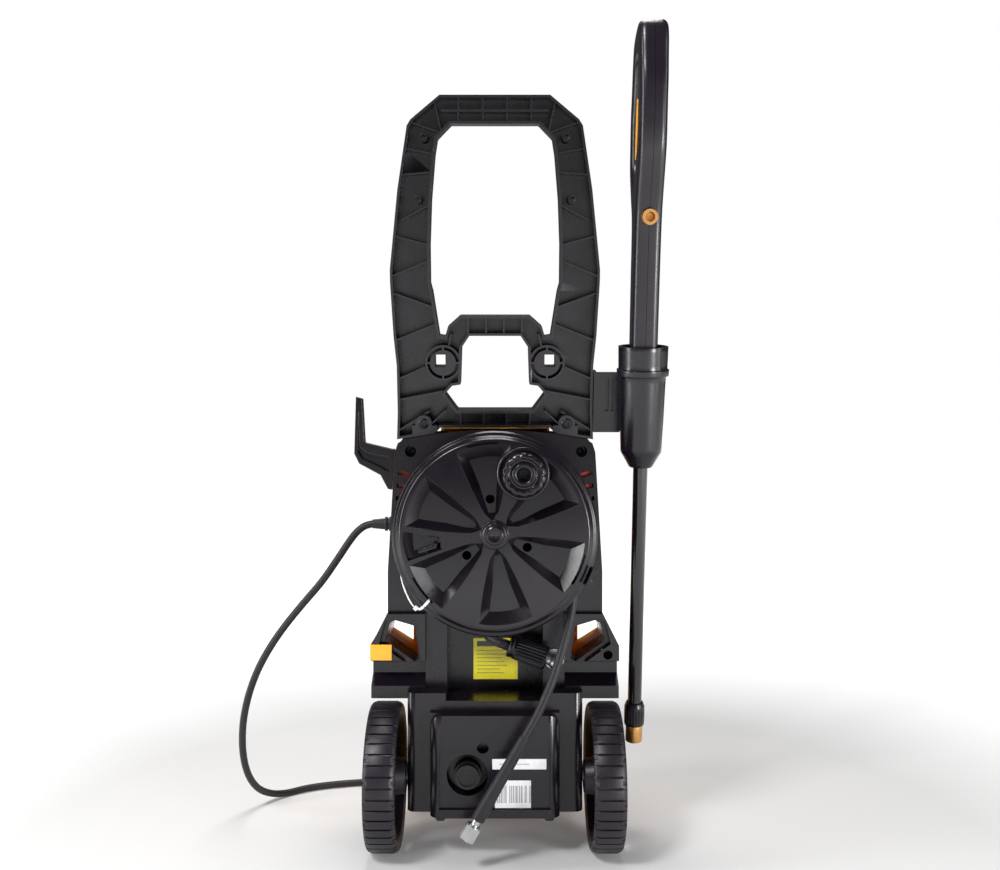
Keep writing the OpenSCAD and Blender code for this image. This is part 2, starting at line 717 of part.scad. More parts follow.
module pump_housing() color("#9b9ea3") difference() {
    union() {
        translate([0, motor_y, 84]) cylinder(r = 40, h = 84);
        translate([0, motor_y, 168]) cylinder(r = 46, h = 57.5);
        translate([-44, motor_y - 16, 100]) cube([88, 32, 30]);
    }
    translate([0, motor_y, 172]) cylinder(r = 40, h = 56);
    for (a = [90, 210, 330]) translate([0, motor_y, 132]) rotate(a) translate([22, 0, 0])
        cylinder(r = 8.2, h = 42);
    rod_x(motor_y, 115, -50, -30, 7);
    rod_x(motor_y, 115, 30, 50, 7);
}

module pump_pistons() color("#d5d8dc") for (a = [90, 210, 330]) translate([0, motor_y, 138]) rotate(a)
    translate([22, 0, 0]) {
        cylinder(r = 7.8, h = 48);
        translate([0, 0, 46]) cylinder(r = 10, h = 4);
    }

module pump_pipes() color("#b08a4a") {
    // suction side, from the inlet to the pump
    tube(smooth([[inlet_x, inlet_floor + 0.4, inlet_z], [inlet_x, -11, 99.4], [-32.5, -3, 105],
        [-34, 14, 113], [-46, 40, 116], [-62, 66, 115], [-68, 90, 115], [-60, motor_y - 2, 115],
        [-44.5, motor_y, 115]], 3), 5.4);
    // pressure side, from the pump to the outlet
    tube(smooth([[44.5, motor_y, 115], [58, motor_y - 1, 116], [72, motor_y - 8, 128], [80, 90, 150],
        [80, 78, 180], [74, 72, 205], [outlet_x, 64, 222], [outlet_x, 56, outlet_z],
        [outlet_x, split_y - 13.6, outlet_z]], 3), 5);
}

module capacitor() color("#7f8489") translate([-82, 104, 300]) difference() {
    cylinder(r = 17, h = 74);
    translate([0, 0, 70]) cylinder(r = 14, h = 5);
}

module switch_box() color("#2d2d31") difference() {
    translate([-24, front_y - 29, 344]) cube([48, 23, 56]);
    rod_y(0, 372, front_y - 20, front_y, 5 + fit);
}

module switch_knob() color("#1b1a1d") {
    rod_y(0, 372, front_y - 19, front_y + 5, 5);
    rod_y(0, 372, front_y + 4, front_y + 12, 22);
    translate([-5, front_y + 11, 351]) cube([10, 10, 42]);
}

// ---------------------------------------------------------------- reel

// Local z runs from the axle plane towards the reel side
module on_reel() translate([0, 0, reel_z]) rotate([90, 0, 0]) children();

module reel_axle() color("#3a393e") on_reel() difference() {
    union() {
        translate([0, 0, -channel_y]) cylinder(r = 30, h = 6);
        translate([0, 0, -channel_y]) cylinder(r = 22, h = channel_y - 10);
        translate([0, 0, -channel_y]) cylinder(r = 12, h = channel_y + 57);
    }
    translate([0, 0, 40]) cylinder(r = 4, h = 20);
    // pocket where the link pipe screws in
    translate([0, -40, -30]) rotate([-90, 0, 0]) cylinder(r = 6.4, h = 36);
}

module reel_drum() color("#232227") on_reel() difference() {
    rotate_extrude() polygon([
        [12 + fit, drum_back - 4], [back_flange_r - 3, drum_back - 4], [back_flange_r, drum_back - 2],
        [back_flange_r - 3, drum_back], [drum_r, drum_back], [drum_r, drum_front - gap],
        [12 + fit, drum_front - gap], [12 + fit, drum_front - 5], [drum_r - 4, drum_front - 5],
        [drum_r - 4, drum_back + 1], [18, drum_back + 1], [18, drum_front - 8], [12 + fit, drum_front - 8]
    ]);
    // behind the holes of the front flange
    for (a = hole_angles) rotate(a) translate([40, 0, 50]) cylinder(r = 6.2, h = 20, $fn = 32);
}

// One sunk petal of the flange: narrow at the hub, wide at the rim
module petal() polygon(concat(
    [[19, -1.5], [38, -9], [62, -16.5]],
    [for (a = [-17 : 3.4 : 17.1]) 97 * [cos(a), sin(a)]],
    [[62, 16.5], [38, 9], [19, 1.5]]
));

module reel_flange() color("#29272c") on_reel() difference() {
    union() {
        rotate_extrude() polygon([
            [0, drum_front], [flange_r - 5, drum_front], [flange_r - 2, drum_front - 3],
            [flange_r, drum_front], [flange_r, drum_front + 5], [flange_r - 3, reel_front - 5],
            [flange_r - 9, reel_front], [0, reel_front]
        ]);
        translate([knob_x, knob_up, reel_front - 14]) cylinder(r = 29, h = 17);
        translate([0, 0, reel_front - 1]) cylinder(r = 19, h = 3);
    }
    for (a = petal_angles) rotate(a) translate([0, 0, reel_front - 13]) linear_extrude(30) difference() {
        petal();
        rotate(-a) translate([knob_x, knob_up]) circle(31);
    }
    for (a = hole_angles) {
        rotate(a) translate([40, 0, 40]) cylinder(r = 5.2, h = 40);
        rotate(a - 10) rotate_extrude(angle = 20) translate([103.3, 50]) square([3.5, 40]);
    }
    // window beside the snap, in the spoke at the left
    rotate(187.5) translate([76, -14, 50]) cube([24, 26, 40]);
    cylinder(r = 4.2, h = 100);
    translate([knob_x, knob_up, reel_front]) cylinder(r = 25.5, h = 10);
}

module reel_hub_cap() color("#201f23") on_reel() difference() {
    union() {
        translate([0, 0, reel_front + 2]) cylinder(r = 13.8, h = 5);
        translate([0, 0, reel_front + 2]) cylinder(r1 = 13.8, r2 = 10, h = 9);
        translate([0, 0, drum_front - 3]) cylinder(r = 4, h = reel_front - drum_front + 6);
    }
    translate([0, 0, reel_front + 8]) cylinder(r = 6, h = 5);
}

module crank_pin() color("#3a3a3e") on_reel() translate([knob_x, knob_up, reel_front])
    cylinder(r = 6, h = 24);

module crank_knob() color("#1f1e22") on_reel() translate([knob_x, knob_up, reel_front + gap])
    rotate_extrude() polygon([
        [6 + fit, 0], [22, 0], [20, 6], [19, 12], [22, 22], [24.5, 30], [24.5, 38], [22.5, 41.5], [19, 42],
        [17.5, 38], [13.5, 38], [12.5, 41], [8.5, 41], [7, 38], [7, 25], [6 + fit, 25]
    ]);

module hose_clip() color("#201f23") on_reel() rotate(-24) difference() {
    translate([flange_r, -11, drum_front + 2]) cube([7, 22, 10]);
    translate([flange_r + 9, 0, 50]) cylinder(r = 5.5, h = 40);
    translate([flange_r + 3.5, 0, drum_front + 7]) rotate([90, 0, 0])
        cylinder(r = 1.6, h = 40, center = true);
}

module cable_tie() color("#eeeeee") on_reel() tube(smooth([
    for (p = [[105, 220, 62], [105, 220, 74], [106, 220, 82], [111, 222, 85], [119, 224, 81], [124, 223, 73],
        [122, 217, 68], [118.5, 211, 74], [113, 209, 82]])
        [p[0] * cos(p[1]), p[0] * sin(p[1]), p[2]]
], 2), 1.1, 8);

module hose_wound() color("#151417") on_reel() rotate_extrude() translate([wound_inner, drum_back + gap])
    square([wound_outer - wound_inner, drum_front - drum_back - 3]);

module hose_free() color("#151417") tube(smooth(hose_route, 2), hose_d / 2);

// Local z runs along the end of the hose, away from the reel
module on_hose_end(s) translate(hose_end + s * hose_dir) rotate([0, 180 + 30, 0]) children();

module hose_sleeve() color("#1c1b1f") on_hose_end(gap) rotate_extrude() polygon([
    [0, 0], [5.6, 0], [6, 1.5], [7.8, 100], [7.8, 106], [6.5, 108], [0, 108]
]);

module hose_ferrule() color("#b5b7ba") on_hose_end(108 + 2 * gap) {
    cylinder(r = 4.7, h = 8);
    translate([0, 0, 8]) cylinder(r = 3.6, h = 13);
}

module hose_nut() color("#c2c4c7") on_hose_end(108 + 2 * gap + 6) difference() {
    rotate_extrude($fn = 64) polygon([[4.7 + gap, 0], [7.5, 0], [9.6, 2], [9.6, 18.5], [4.7 + gap, 18.5]]);
    for (a = [0 : 60 : 300]) rotate(a) translate([8.5, -12, -1]) cube([10, 24, 30]);
}

// ---------------------------------------------------------------- gun

// Side view of the gun, y towards the front of the machine, z up along the lance
module gun_side(t = 0) {
    hull() {
        translate([0, 30]) circle(16.5 - t, $fn = 32);
        translate([1, 160]) circle(19.5 - t, $fn = 32);
    }
    hull() {
        translate([1, 160]) circle(19.5 - t, $fn = 32);
        translate([-2, 300]) circle(22 - t, $fn = 32);
    }
    hull() {
        translate([-2, 300]) circle(22 - t, $fn = 32);
        translate([-29, 372]) circle(16 - t, $fn = 32);
    }
    hull() {
        translate([-29, 372]) circle(16 - t, $fn = 32);
        translate([-28, 440]) circle(16 - t, $fn = 32);
    }
    hull() {
        translate([-28, 440]) circle(16 - t, $fn = 32);
        translate([-14, 489]) circle(17 - t, $fn = 32);
    }
    hull() {
        translate([6, 296]) circle(14 - t, $fn = 32);
        translate([41, 345]) circle(9 - t, $fn = 32);
    }
    hull() {
        translate([41, 345]) circle(9 - t, $fn = 32);
        translate([44, 412]) circle(8 - t, $fn = 32);
    }
    hull() {
        translate([44, 412]) circle(8 - t, $fn = 32);
        translate([22, 478]) circle(11 - t, $fn = 32);
    }
    hull() {
        translate([22, 478]) circle(11 - t, $fn = 32);
        translate([-14, 489]) circle(17 - t, $fn = 32);
    }
}

// Room that the gun may take in the holder, wider above it
module gun_limit() rotate_extrude() polygon([
    [0, 14], [12, 14], [17.2, 26], [19.6, 60], [21.6, 112], [23.2, 148], [70, 190], [70, 520], [0, 520]
]);

// One half of the gun's casing: a full middle slice and a thinner cheek
module gun_half_shell() difference() {
    intersection() {
        union() {
            along_x(gap / 2, gun_half - 4) gun_side();
            along_x(gap / 2, gun_half) gun_side(3);
        }
        gun_limit();
    }
    // room for the lance, the valve and the trigger
    translate([0, 0, -10]) cylinder(r = lance_r + gap, h = 190);
    translate([-1, -13, 169]) cube([11, 26, 140]);
    translate([-1, -12, 306]) cube([8.5, 29, 28]);
    translate([-1, -12, 330]) cube([8.5, 22, 36]);
    rod_y(0, 294, -40, 0, 9);
    rod_x(pivot_y, pivot_z, -20, 20, 3);
    // shallow finger line along the cheek
    along_x(gun_half - 1, gun_half + 2) translate([-7, 60]) square([2, 200]);
}

module gun_shell_left() color("#202024") on_gun() mirror([1, 0, 0]) gun_half_shell();
module gun_shell_right() color("#202024") on_gun() gun_half_shell();

module gun_valve() color("#c08a45") on_gun() difference() {
    union() {
        translate([-9, -12, 181]) cube([18, 24, 117]);
        translate([0, 0, 171.5]) cylinder(r = lance_r + 1, h = 10);
        rod_y(0, 294, -31, -11, 8.6);
        rod_y(0, 294, -26, -22, 8.9);
    }
    rod_y(0, 294, -32, -14, 5.4);
    translate([0, 0, 172]) cylinder(r = 4, h = 60);
}

module trigger() color("#f9ae28") on_gun() difference() {
    union() {
        rod_x(pivot_y, pivot_z, -7, 7, 7);
        along_x(-7, 7) polygon([
            [0, 316], [12, 318], [14, 345], [14, 380], [11.5, 412], [7, 424],
            [2, 422], [2.5, 400], [3, 370], [1, 340]
        ]);
        // the blade is wide where it stands free inside the guard
        along_x(-13, 13) polygon([
            [2.3, 362], [14, 358], [14, 380], [11.5, 412], [7, 424], [2, 422], [2.5, 400], [3, 370]
        ]);
    }
    rod_x(pivot_y, pivot_z, -20, 20, 2.95 + fit);
    translate([-2.8, 4, 364]) cube([5.6, 30, 26]);
}

module trigger_pin() color("#b9bbc0") on_gun() rod_x(pivot_y, pivot_z, -gun_half + 3, gun_half - 3, 2.95);

module trigger_lock() color("#1b1a1d") on_gun() {
    rod_x(11, 370, -2.4, 2.4, 3);
    along_x(-2.4, 2.4) polygon([[10, 368], [17, 366], [20, 384], [17, 387], [12, 375]]);
}

module lance() color("#222126") on_gun() difference() {
    translate([0, 0, -309]) cylinder(r = lance_r, h = 480);
    translate([0, 0, -310]) cylinder(r = 4, h = 482);
}

module nozzle_adjuster() color("#1b1a1d") on_gun() difference() {
    rotate_extrude() polygon([
        [lance_r + gap, -324], [12, -324], [12.5, -322], [12.5, -300], [10.5, -295], [lance_r + gap, -295]
    ]);
    for (k = [0 : 19]) rotate(18 * k) translate([12.9, 0, -320]) cylinder(r = 1, h = 17, $fn = 16);
}

module nozzle() color("#c9974b") on_gun() difference() {
    union() {
        translate([0, 0, -346]) cylinder(r = 10.4, h = 21.5);
        translate([0, 0, -325]) cylinder(r = lance_r - 0.5, h = 15.5);
    }
    translate([0, 0, -347]) cylinder(r = 3, h = 40);
    translate([0, 0, -347]) cylinder(r1 = 7, r2 = 3, h = 7);
}

place() rear_shell();
place() front_shell();
place() front_grille();
place() base_plate();
place() front_feet();
place() case_screws();
place() handle_frame();
place() handle_cover();
place() handle_screws();
place() gun_holder();
place() cord_hook();
place() axle();
place() wheel_left();
place() wheel_right();
place() axle_caps();
place() water_inlet();
place() inlet_cap();
place() outlet_port();
place() rating_label();
place() info_labels();
place() cord_gland();
place() power_cord();
place() cord_coil();
place() plug();
place() motor_housing();
place() motor_shaft();
place() cooling_fan();
place() swash_plate();
place() pump_housing();
place() pump_pistons();
place() pump_pipes();
place() capacitor();
place() switch_box();
place() switch_knob();
place() reel_axle();
place() reel_drum();
place() reel_flange();
place() reel_hub_cap();
place() crank_pin();
place() crank_knob();
place() hose_clip();
place() cable_tie();
place() hose_wound();
place() hose_free();
place() hose_sleeve();
place() hose_ferrule();
place() hose_nut();
place() link_pipe();
place() hand_nut();
place() vent_ducts();
place() gun_shell_left();
place() gun_shell_right();
place() gun_valve();
place() trigger();
place() trigger_pin();
place() trigger_lock();
place() lance();
place() nozzle_adjuster();
place() nozzle();
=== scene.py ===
import json
import math

import bmesh
import bpy
from mathutils import Matrix, Vector


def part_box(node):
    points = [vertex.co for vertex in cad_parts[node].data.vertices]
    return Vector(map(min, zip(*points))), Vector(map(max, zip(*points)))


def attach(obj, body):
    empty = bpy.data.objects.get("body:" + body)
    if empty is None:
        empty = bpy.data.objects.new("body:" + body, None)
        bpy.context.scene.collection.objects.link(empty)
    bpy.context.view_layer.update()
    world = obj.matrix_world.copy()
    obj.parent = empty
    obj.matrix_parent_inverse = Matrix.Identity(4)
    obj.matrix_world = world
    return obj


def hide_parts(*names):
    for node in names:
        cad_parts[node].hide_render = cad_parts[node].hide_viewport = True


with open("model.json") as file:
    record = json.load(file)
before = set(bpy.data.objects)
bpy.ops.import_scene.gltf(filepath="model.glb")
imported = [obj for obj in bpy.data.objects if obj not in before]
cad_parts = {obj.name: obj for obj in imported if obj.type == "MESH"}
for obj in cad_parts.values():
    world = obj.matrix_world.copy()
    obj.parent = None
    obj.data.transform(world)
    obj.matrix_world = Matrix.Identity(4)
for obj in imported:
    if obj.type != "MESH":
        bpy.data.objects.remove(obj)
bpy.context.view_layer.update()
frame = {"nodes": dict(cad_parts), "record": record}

# ---------------------------------------------------------------- places
# The design frame has x = 0 on the body's middle plane, y = 0 on the wheel axle and z = 0 on the
# floor, in millimetres; y is negative on the reel side. WORLD carries it into the frame's metres.
MM = 0.001
AXLE_LOW, AXLE_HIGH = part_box("axle")
WORLD = Matrix.Translation((
    (AXLE_LOW.x + AXLE_HIGH.x) / 2, (AXLE_LOW.y + AXLE_HIGH.y) / 2, 0)) @ Matrix.Scale(MM, 4)
LEAN = math.radians(10.5)
REEL_Z = 382.7
REEL = WORLD @ Matrix.Translation((0, 0, REEL_Z)) @ Matrix.Rotation(math.pi / 2, 4, "X")
GUN = WORLD @ Matrix.Translation((173, -8, 454)) @ Matrix.Rotation(LEAN, 4, "X")
HANDLE = WORLD @ Matrix.Translation((0, 32, 490)) @ Matrix.Rotation(LEAN, 4, "X")
# A side view drawn in x and y stands up as y and z, with its thickness along x
SIDEWAYS = Matrix(((0, 0, 1, 0), (1, 0, 0, 0), (0, 1, 0, 0), (0, 0, 0, 1)))
# A front view drawn in x and y stands up as x and z, with its thickness towards the reel side
UPRIGHT = Matrix.Rotation(math.pi / 2, 4, "X")


def at(x, y, z):
    """A point of the design frame, in metres."""
    return WORLD @ Vector((x, y, z))


# ---------------------------------------------------------------- camera
CAMERA_AT = at(6, -1258, 495)
camera = bpy.data.objects.new("camera", bpy.data.cameras.new("camera"))
camera.data.lens = 37.8
camera.data.sensor_width = 36
camera.location = CAMERA_AT
camera.rotation_euler = (math.pi / 2, 0, 0)
bpy.context.scene.collection.objects.link(camera)
bpy.context.scene.camera = camera


# ---------------------------------------------------------------- material nodes
class Nodes:
    """A material's node tree, with short calls for the nodes that the finishes below use."""

    def __init__(self, name):
        self.material = bpy.data.materials.new(name)
        self.material.use_nodes = True
        self.tree = self.material.node_tree
        self.shader = self.tree.nodes["Principled BSDF"]
        self.place = self.add("ShaderNodeTexCoord").outputs["Object"]

    def add(self, kind, **settings):
        """A new node, with its settings."""
        node = self.tree.nodes.new(kind)
        for key, value in settings.items():
            setattr(node, key, value)
        return node

    def link(self, source, target):
        self.tree.links.new(source, target)

    def stretched(self, scale):
        """The object's coordinates, scaled along each axis."""
        node = self.add("ShaderNodeMapping")
        node.inputs["Scale"].default_value = scale
        self.link(self.place, node.inputs["Vector"])
        return node.outputs["Vector"]

    def noise(self, scale, detail=3.0, rough=0.5, vector=None):
        """Noise from 0 to 1; scale is its number of grains in a metre."""
        node = self.add("ShaderNodeTexNoise")
        node.inputs["Scale"].default_value = scale
        node.inputs["Detail"].default_value = detail
        node.inputs["Roughness"].default_value = rough
        self.link(vector or self.place, node.inputs["Vector"])
        return node.outputs["Fac"]

    def remap(self, value, low, high, start=0.3, end=0.7):
        """Carries start to low and end to high, and clamps what lies outside."""
        node = self.add("ShaderNodeMapRange")
        node.inputs["From Min"].default_value = start
        node.inputs["From Max"].default_value = end
        node.inputs["To Min"].default_value = low
        node.inputs["To Max"].default_value = high
        self.link(value, node.inputs["Value"])
        return node.outputs["Result"]

    def math(self, operation, a, b=0.0):
        """One sum of two values, each a socket or a number."""
        node = self.add("ShaderNodeMath", operation=operation)
        for socket, value in zip(node.inputs, (a, b)):
            if isinstance(value, (int, float)):
                socket.default_value = value
            else:
                self.link(value, socket)
        return node.outputs["Value"]

    def mix(self, share, first, second):
        """A colour between two others, each a socket or three numbers."""
        node = self.add("ShaderNodeMix", data_type="RGBA")
        self.link(share, node.inputs[0])
        for socket, value in ((node.inputs[6], first), (node.inputs[7], second)):
            if isinstance(value, tuple):
                socket.default_value = (*value, 1)
            else:
                self.link(value, socket)
        return node.outputs[2]

    def axis(self, name, vector=None):
        """One coordinate, named X, Y or Z."""
        node = self.add("ShaderNodeSeparateXYZ")
        self.link(vector or self.place, node.inputs[0])
        return node.outputs[name]

    def bump(self, height, depth, strength=1.0, under=None):
        """Relief of a depth in metres, laid over another bump if one is given."""
        node = self.add("ShaderNodeBump")
        node.inputs["Distance"].default_value = depth
        node.inputs["Strength"].default_value = strength
        self.link(height, node.inputs["Height"])
        if under:
            self.link(under, node.inputs["Normal"])
        self.link(node.outputs["Normal"], self.shader.inputs["Normal"])
        return node.outputs["Normal"]

    def colour(self, socket):
        self.link(socket, self.shader.inputs["Base Color"])

    def rough(self, socket):
        self.link(socket, self.shader.inputs["Roughness"])

    def set(self, **values):
        """Sets the shader's plain values; an underscore in a name stands for a space."""
        for key, value in values.items():
            self.shader.inputs[key.replace("_", " ")].default_value = value


def shade(colour, factor):
    """A darker or lighter colour."""
    return tuple(min(1.0, c * factor) for c in colour)


def plastic(name, colour, rough, grain=0.00002, grain_scale=1500, flow=0.12, coat=0.0):
    """Moulded plastic: spark-eroded grain, slow flow marks, faint handling scuffs."""
    n = Nodes(name)
    slow = n.noise(9, 2)
    marks = n.noise(60, 4, 0.6)
    tone = n.mix(n.remap(slow, 0, 1), shade(colour, 1 - flow), shade(colour, 1 + flow))
    n.colour(n.mix(n.remap(marks, 0, 0.25, 0.62, 0.8), tone, shade(colour, 1.4)))
    n.rough(n.math("ADD", n.remap(marks, rough - 0.02, rough + 0.03), n.remap(slow, -0.01, 0.02)))
    wavy = n.bump(n.noise(24, 1), 0.0002, 0.2)
    n.bump(n.noise(grain_scale, 2, 0.6), grain, 0.6, under=wavy)
    n.set(Coat_Weight=coat, Coat_Roughness=0.12, IOR=1.5)
    return n.material


def rubber(name, colour, rough, rings=0.0):
    """Cord and hose cover: matt, with dust in it and, on a hose, the print of its braid."""
    n = Nodes(name)
    dust = n.noise(180, 4, 0.65)
    n.colour(n.mix(n.remap(dust, 0, 0.6, 0.5, 0.8), colour, shade(colour, 2.2)))
    n.rough(n.remap(dust, rough - 0.05, rough + 0.12))
    n.bump(n.noise(1400, 2), 0.00008, 0.8)
    if rings:
        weave = n.add("ShaderNodeTexWave", wave_type="BANDS", bands_direction="DIAGONAL")
        weave.inputs["Scale"].default_value = rings
        weave.inputs["Distortion"].default_value = 0.4
        n.link(n.place, weave.inputs["Vector"])
        n.bump(weave.outputs["Fac"], 0.00015, 0.5)
    n.set(Sheen_Weight=0.08, Sheen_Roughness=0.5)
    return n.material


def metal(name, colour, rough, brushed=(1, 1, 1), tarnish=0.25, spots=(0.4, 0.38, 0.35)):
    """Turned, drawn or plated metal, with fine lines along one way and a little tarnish."""
    n = Nodes(name)
    lines = n.noise(700, 3, 0.6, n.stretched(brushed))
    stain = n.noise(70, 4, 0.6)
    dull = tuple(c * s * 1.6 for c, s in zip(colour, spots))
    n.colour(n.mix(n.remap(stain, 0, tarnish, 0.5, 0.75), colour, dull))
    n.rough(n.math("ADD", n.remap(lines, rough - 0.06, rough + 0.08), n.remap(stain, 0, 0.1)))
    n.bump(lines, 0.00004, 0.6)
    n.set(Metallic=1.0)
    return n.material


def film(name, colour, marks):
    """A printed film label. marks(nodes) gives where the dark print lies, from 0 to 1."""
    n = Nodes(name)
    paper = n.mix(n.remap(n.noise(300, 3), 0, 1), shade(colour, 0.94), shade(colour, 1.03))
    n.colour(n.mix(marks(n), paper, (0.03, 0.03, 0.035)))
    n.rough(n.remap(n.noise(90, 2), 0.32, 0.45))
    n.bump(n.noise(220, 2), 0.00005, 0.5)
    n.set(Coat_Weight=0.3, Coat_Roughness=0.15)
    return n.material


def band(n, value, low, high):
    """1 between two values, 0 outside them."""
    return n.math("MULTIPLY", n.math("GREATER_THAN", value, low), n.math("LESS_THAN", value, high))


def blank_rows(n):
    """Plain bars in place of print: one thick bar, then thin rows of uneven length."""
    low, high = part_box("rating_label")
    across, up = n.axis("X"), n.axis("Z")
    width, height = high.x - low.x, high.z - low.z
    head = n.math("MULTIPLY", band(n, up, low.z + 0.80 * height, low.z + 0.93 * height),
                  band(n, across, low.x + 0.08 * width, low.x + 0.8 * width))
    rows = n.math("FRACT", n.math("MULTIPLY", up, 11 / height))
    thin = n.math("MULTIPLY", n.math("LESS_THAN", rows, 0.22),
                  band(n, up, low.z + 0.08 * height, low.z + 0.72 * height))
    uneven = n.noise(1, 0, 0, n.stretched((0, 0, 140)))
    right = n.math("ADD", n.math("MULTIPLY", uneven, 0.5 * width), low.x + 0.45 * width)
    thin = n.math("MULTIPLY", thin, n.math("LESS_THAN", across, right))
    thin = n.math("MULTIPLY", thin, n.math("GREATER_THAN", across, low.x + 0.08 * width))
    return n.math("MAXIMUM", head, n.math("MULTIPLY", thin, 0.6))


def blank_bars(n):
    """Plain upright bars on the square label and one thin row on the strip above it."""
    low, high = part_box("info_labels")
    across, up = n.axis("X"), n.axis("Z")
    uneven = n.noise(1, 0, 0, n.stretched((900, 0, 0)))
    bars = n.math("MULTIPLY", n.math("GREATER_THAN", uneven, 0.5),
                  band(n, up, low.z + 0.006, low.z + 0.026))
    row = n.math("MULTIPLY", band(n, up, high.z - 0.0068, high.z - 0.0052),
                 band(n, across, low.x + 0.008, high.x - 0.02))
    return n.math("MAXIMUM", n.math("MULTIPLY", bars, 0.75), n.math("MULTIPLY", row, 0.45))


BLACK = (0.0066, 0.0046, 0.0078)
FINISHES = {
    "case_black": plastic("case_black", shade(BLACK, 1.0), 0.25, flow=0.15),
    "frame_black": plastic("frame_black", shade(BLACK, 1.2), 0.27, flow=0.15),
    "amber_plastic": plastic("amber_plastic", (0.93, 0.42, 0.022), 0.3, grain=0.00002, flow=0.05,
                             coat=0.25),
    "reel_black": plastic("reel_black", shade(BLACK, 1.0), 0.21, flow=0.12, grain=0.00001),
    "trim_black": plastic("trim_black", shade(BLACK, 0.7), 0.28, flow=0.2),
    "gun_black": plastic("gun_black", shade(BLACK, 1.3), 0.28, grain=0.00004, flow=0.15),
    "wheel_black": plastic("wheel_black", shade(BLACK, 1.5), 0.4, grain=0.0001, flow=0.25),
    "rubber_black": rubber("rubber_black", shade(BLACK, 0.75), 0.55),
    "cord_black": rubber("cord_black", shade(BLACK, 0.8), 0.5),
    "hose_black": rubber("hose_black", shade(BLACK, 0.9), 0.46, rings=500),
    "steel": metal("steel", (0.62, 0.62, 0.64), 0.28, brushed=(1, 6, 1)),
    "dark_steel": metal("dark_steel", (0.035, 0.034, 0.036), 0.3, tarnish=0.2),
    # The vent ducts' deep red is a painted reflection: the red that amber light takes after bouncing inside
    # the front shell, seen through the side vents
    "red_plastic": plastic("red_plastic", (0.5, 0.03, 0.012), 0.35, grain=0.00002),
    "lance_coating": plastic("lance_coating", shade(BLACK, 0.8), 0.2, grain=0.00001,
                             grain_scale=900, coat=0.6),
    "brass": metal("brass", (0.66, 0.35, 0.12), 0.25, brushed=(1, 1, 5), spots=(0.4, 0.33, 0.25)),
    "copper_pipe": metal("copper_pipe", (0.85, 0.45, 0.27), 0.3),
    "cast_aluminium": metal("cast_aluminium", (0.5, 0.51, 0.53), 0.45, tarnish=0.4),
    "label_yellow": film("label_yellow", (1.0, 0.86, 0.01), blank_rows),
    "label_white": film("label_white", (0.8, 0.8, 0.82), blank_bars),
    "tie_white": plastic("tie_white", (0.85, 0.85, 0.85), 0.35, grain=0.00001, flow=0.03),
}

# ---------------------------------------------------------------- mesh tools


def rounded(points, radius, steps=4):
    """The points of an outline whose corners are round. radius is one number or one per point."""
    count = len(points)
    radii = radius if isinstance(radius, (list, tuple)) else [radius] * count
    result = []
    for i, point in enumerate(points):
        p = Vector(point)
        if radii[i] <= 0:
            result.append(tuple(p))
            continue
        before = Vector(points[i - 1]) - p
        after = Vector(points[(i + 1) % count]) - p
        half = before.angle(after) / 2
        back = min(radii[i] / math.tan(half), 0.48 * before.length, 0.48 * after.length)
        start, end = p + before.normalized() * back, p + after.normalized() * back
        for k in range(steps + 1):
            t = k / steps
            result.append(tuple((1 - t) ** 2 * start + 2 * t * (1 - t) * p + t ** 2 * end))
    return result


def between(a, b, c, d, t):
    """A point of the smooth curve from b (t = 0) to c (t = 1), with a before them and d after."""
    return 0.5 * (2 * b + (c - a) * t + (2 * a - 5 * b + 4 * c - d) * t ** 2
                  + (3 * b - a - 3 * c + d) * t ** 3)


def smooth_loop(points, steps):
    """A closed flat curve through the points."""
    count = len(points)
    result = []
    for i in range(count):
        four = [Vector(points[(i + k) % count]) for k in (-1, 0, 1, 2)]
        result += [tuple(between(*four, k / steps)) for k in range(steps)]
    return result


def smooth_line(points, steps):
    """An open curve through the points, each a vector."""
    last = len(points) - 1
    result = []
    for i in range(last):
        four = [points[max(i - 1, 0)], points[i], points[i + 1], points[min(i + 2, last)]]
        result += [between(*four, k / steps) for k in range(steps)]
    return result + [points[last]]


def finish_mesh(name, mesh, matrix, body, slot, sharp=35):
    """Puts a mesh made in local millimetres in its place, as a piece that rides on a body."""
    mesh.transform(matrix)
    if matrix.to_3x3().determinant() < 0:
        mesh.flip_normals()
    mesh.materials.clear()
    mesh.materials.append(FINISHES[slot])
    mesh.polygons.foreach_set("use_smooth", [True] * len(mesh.polygons))
    mesh.set_sharp_from_angle(angle=math.radians(sharp))
    mesh.update()
    item = bpy.data.objects.new(name, mesh)
    bpy.context.scene.collection.objects.link(item)
    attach(item, body)
    return item


def mesh_of(bm):
    """Closes a bmesh into a mesh whose faces all look outwards."""
    bmesh.ops.remove_doubles(bm, verts=bm.verts, dist=1e-4)
    bmesh.ops.recalc_face_normals(bm, faces=bm.faces)
    mesh = bpy.data.meshes.new("part")
    bm.to_mesh(mesh)
    bm.free()
    return mesh


def turned(profile, segments=96, shape=None):
    """Turns a closed profile of (radius, height) about z.

    shape(angle, radius, height) may change the radius. A radius of 0.01 stands for the axis.
    """
    bm = bmesh.new()
    rings = []
    for i in range(segments):
        angle = math.tau * i / segments
        ring = []
        for radius, height in profile:
            r = shape(angle, radius, height) if shape else radius
            ring.append(bm.verts.new((r * math.cos(angle), r * math.sin(angle), height)))
        rings.append(ring)
    count = len(profile)
    for i in range(segments):
        near, far = rings[i], rings[(i + 1) % segments]
        for k in range(count):
            m = (k + 1) % count
            bm.faces.new((near[k], far[k], far[m], near[m]))
    bmesh.ops.remove_doubles(bm, verts=bm.verts, dist=1e-5)
    bmesh.ops.dissolve_degenerate(bm, edges=bm.edges, dist=1e-5)
    return mesh_of(bm)


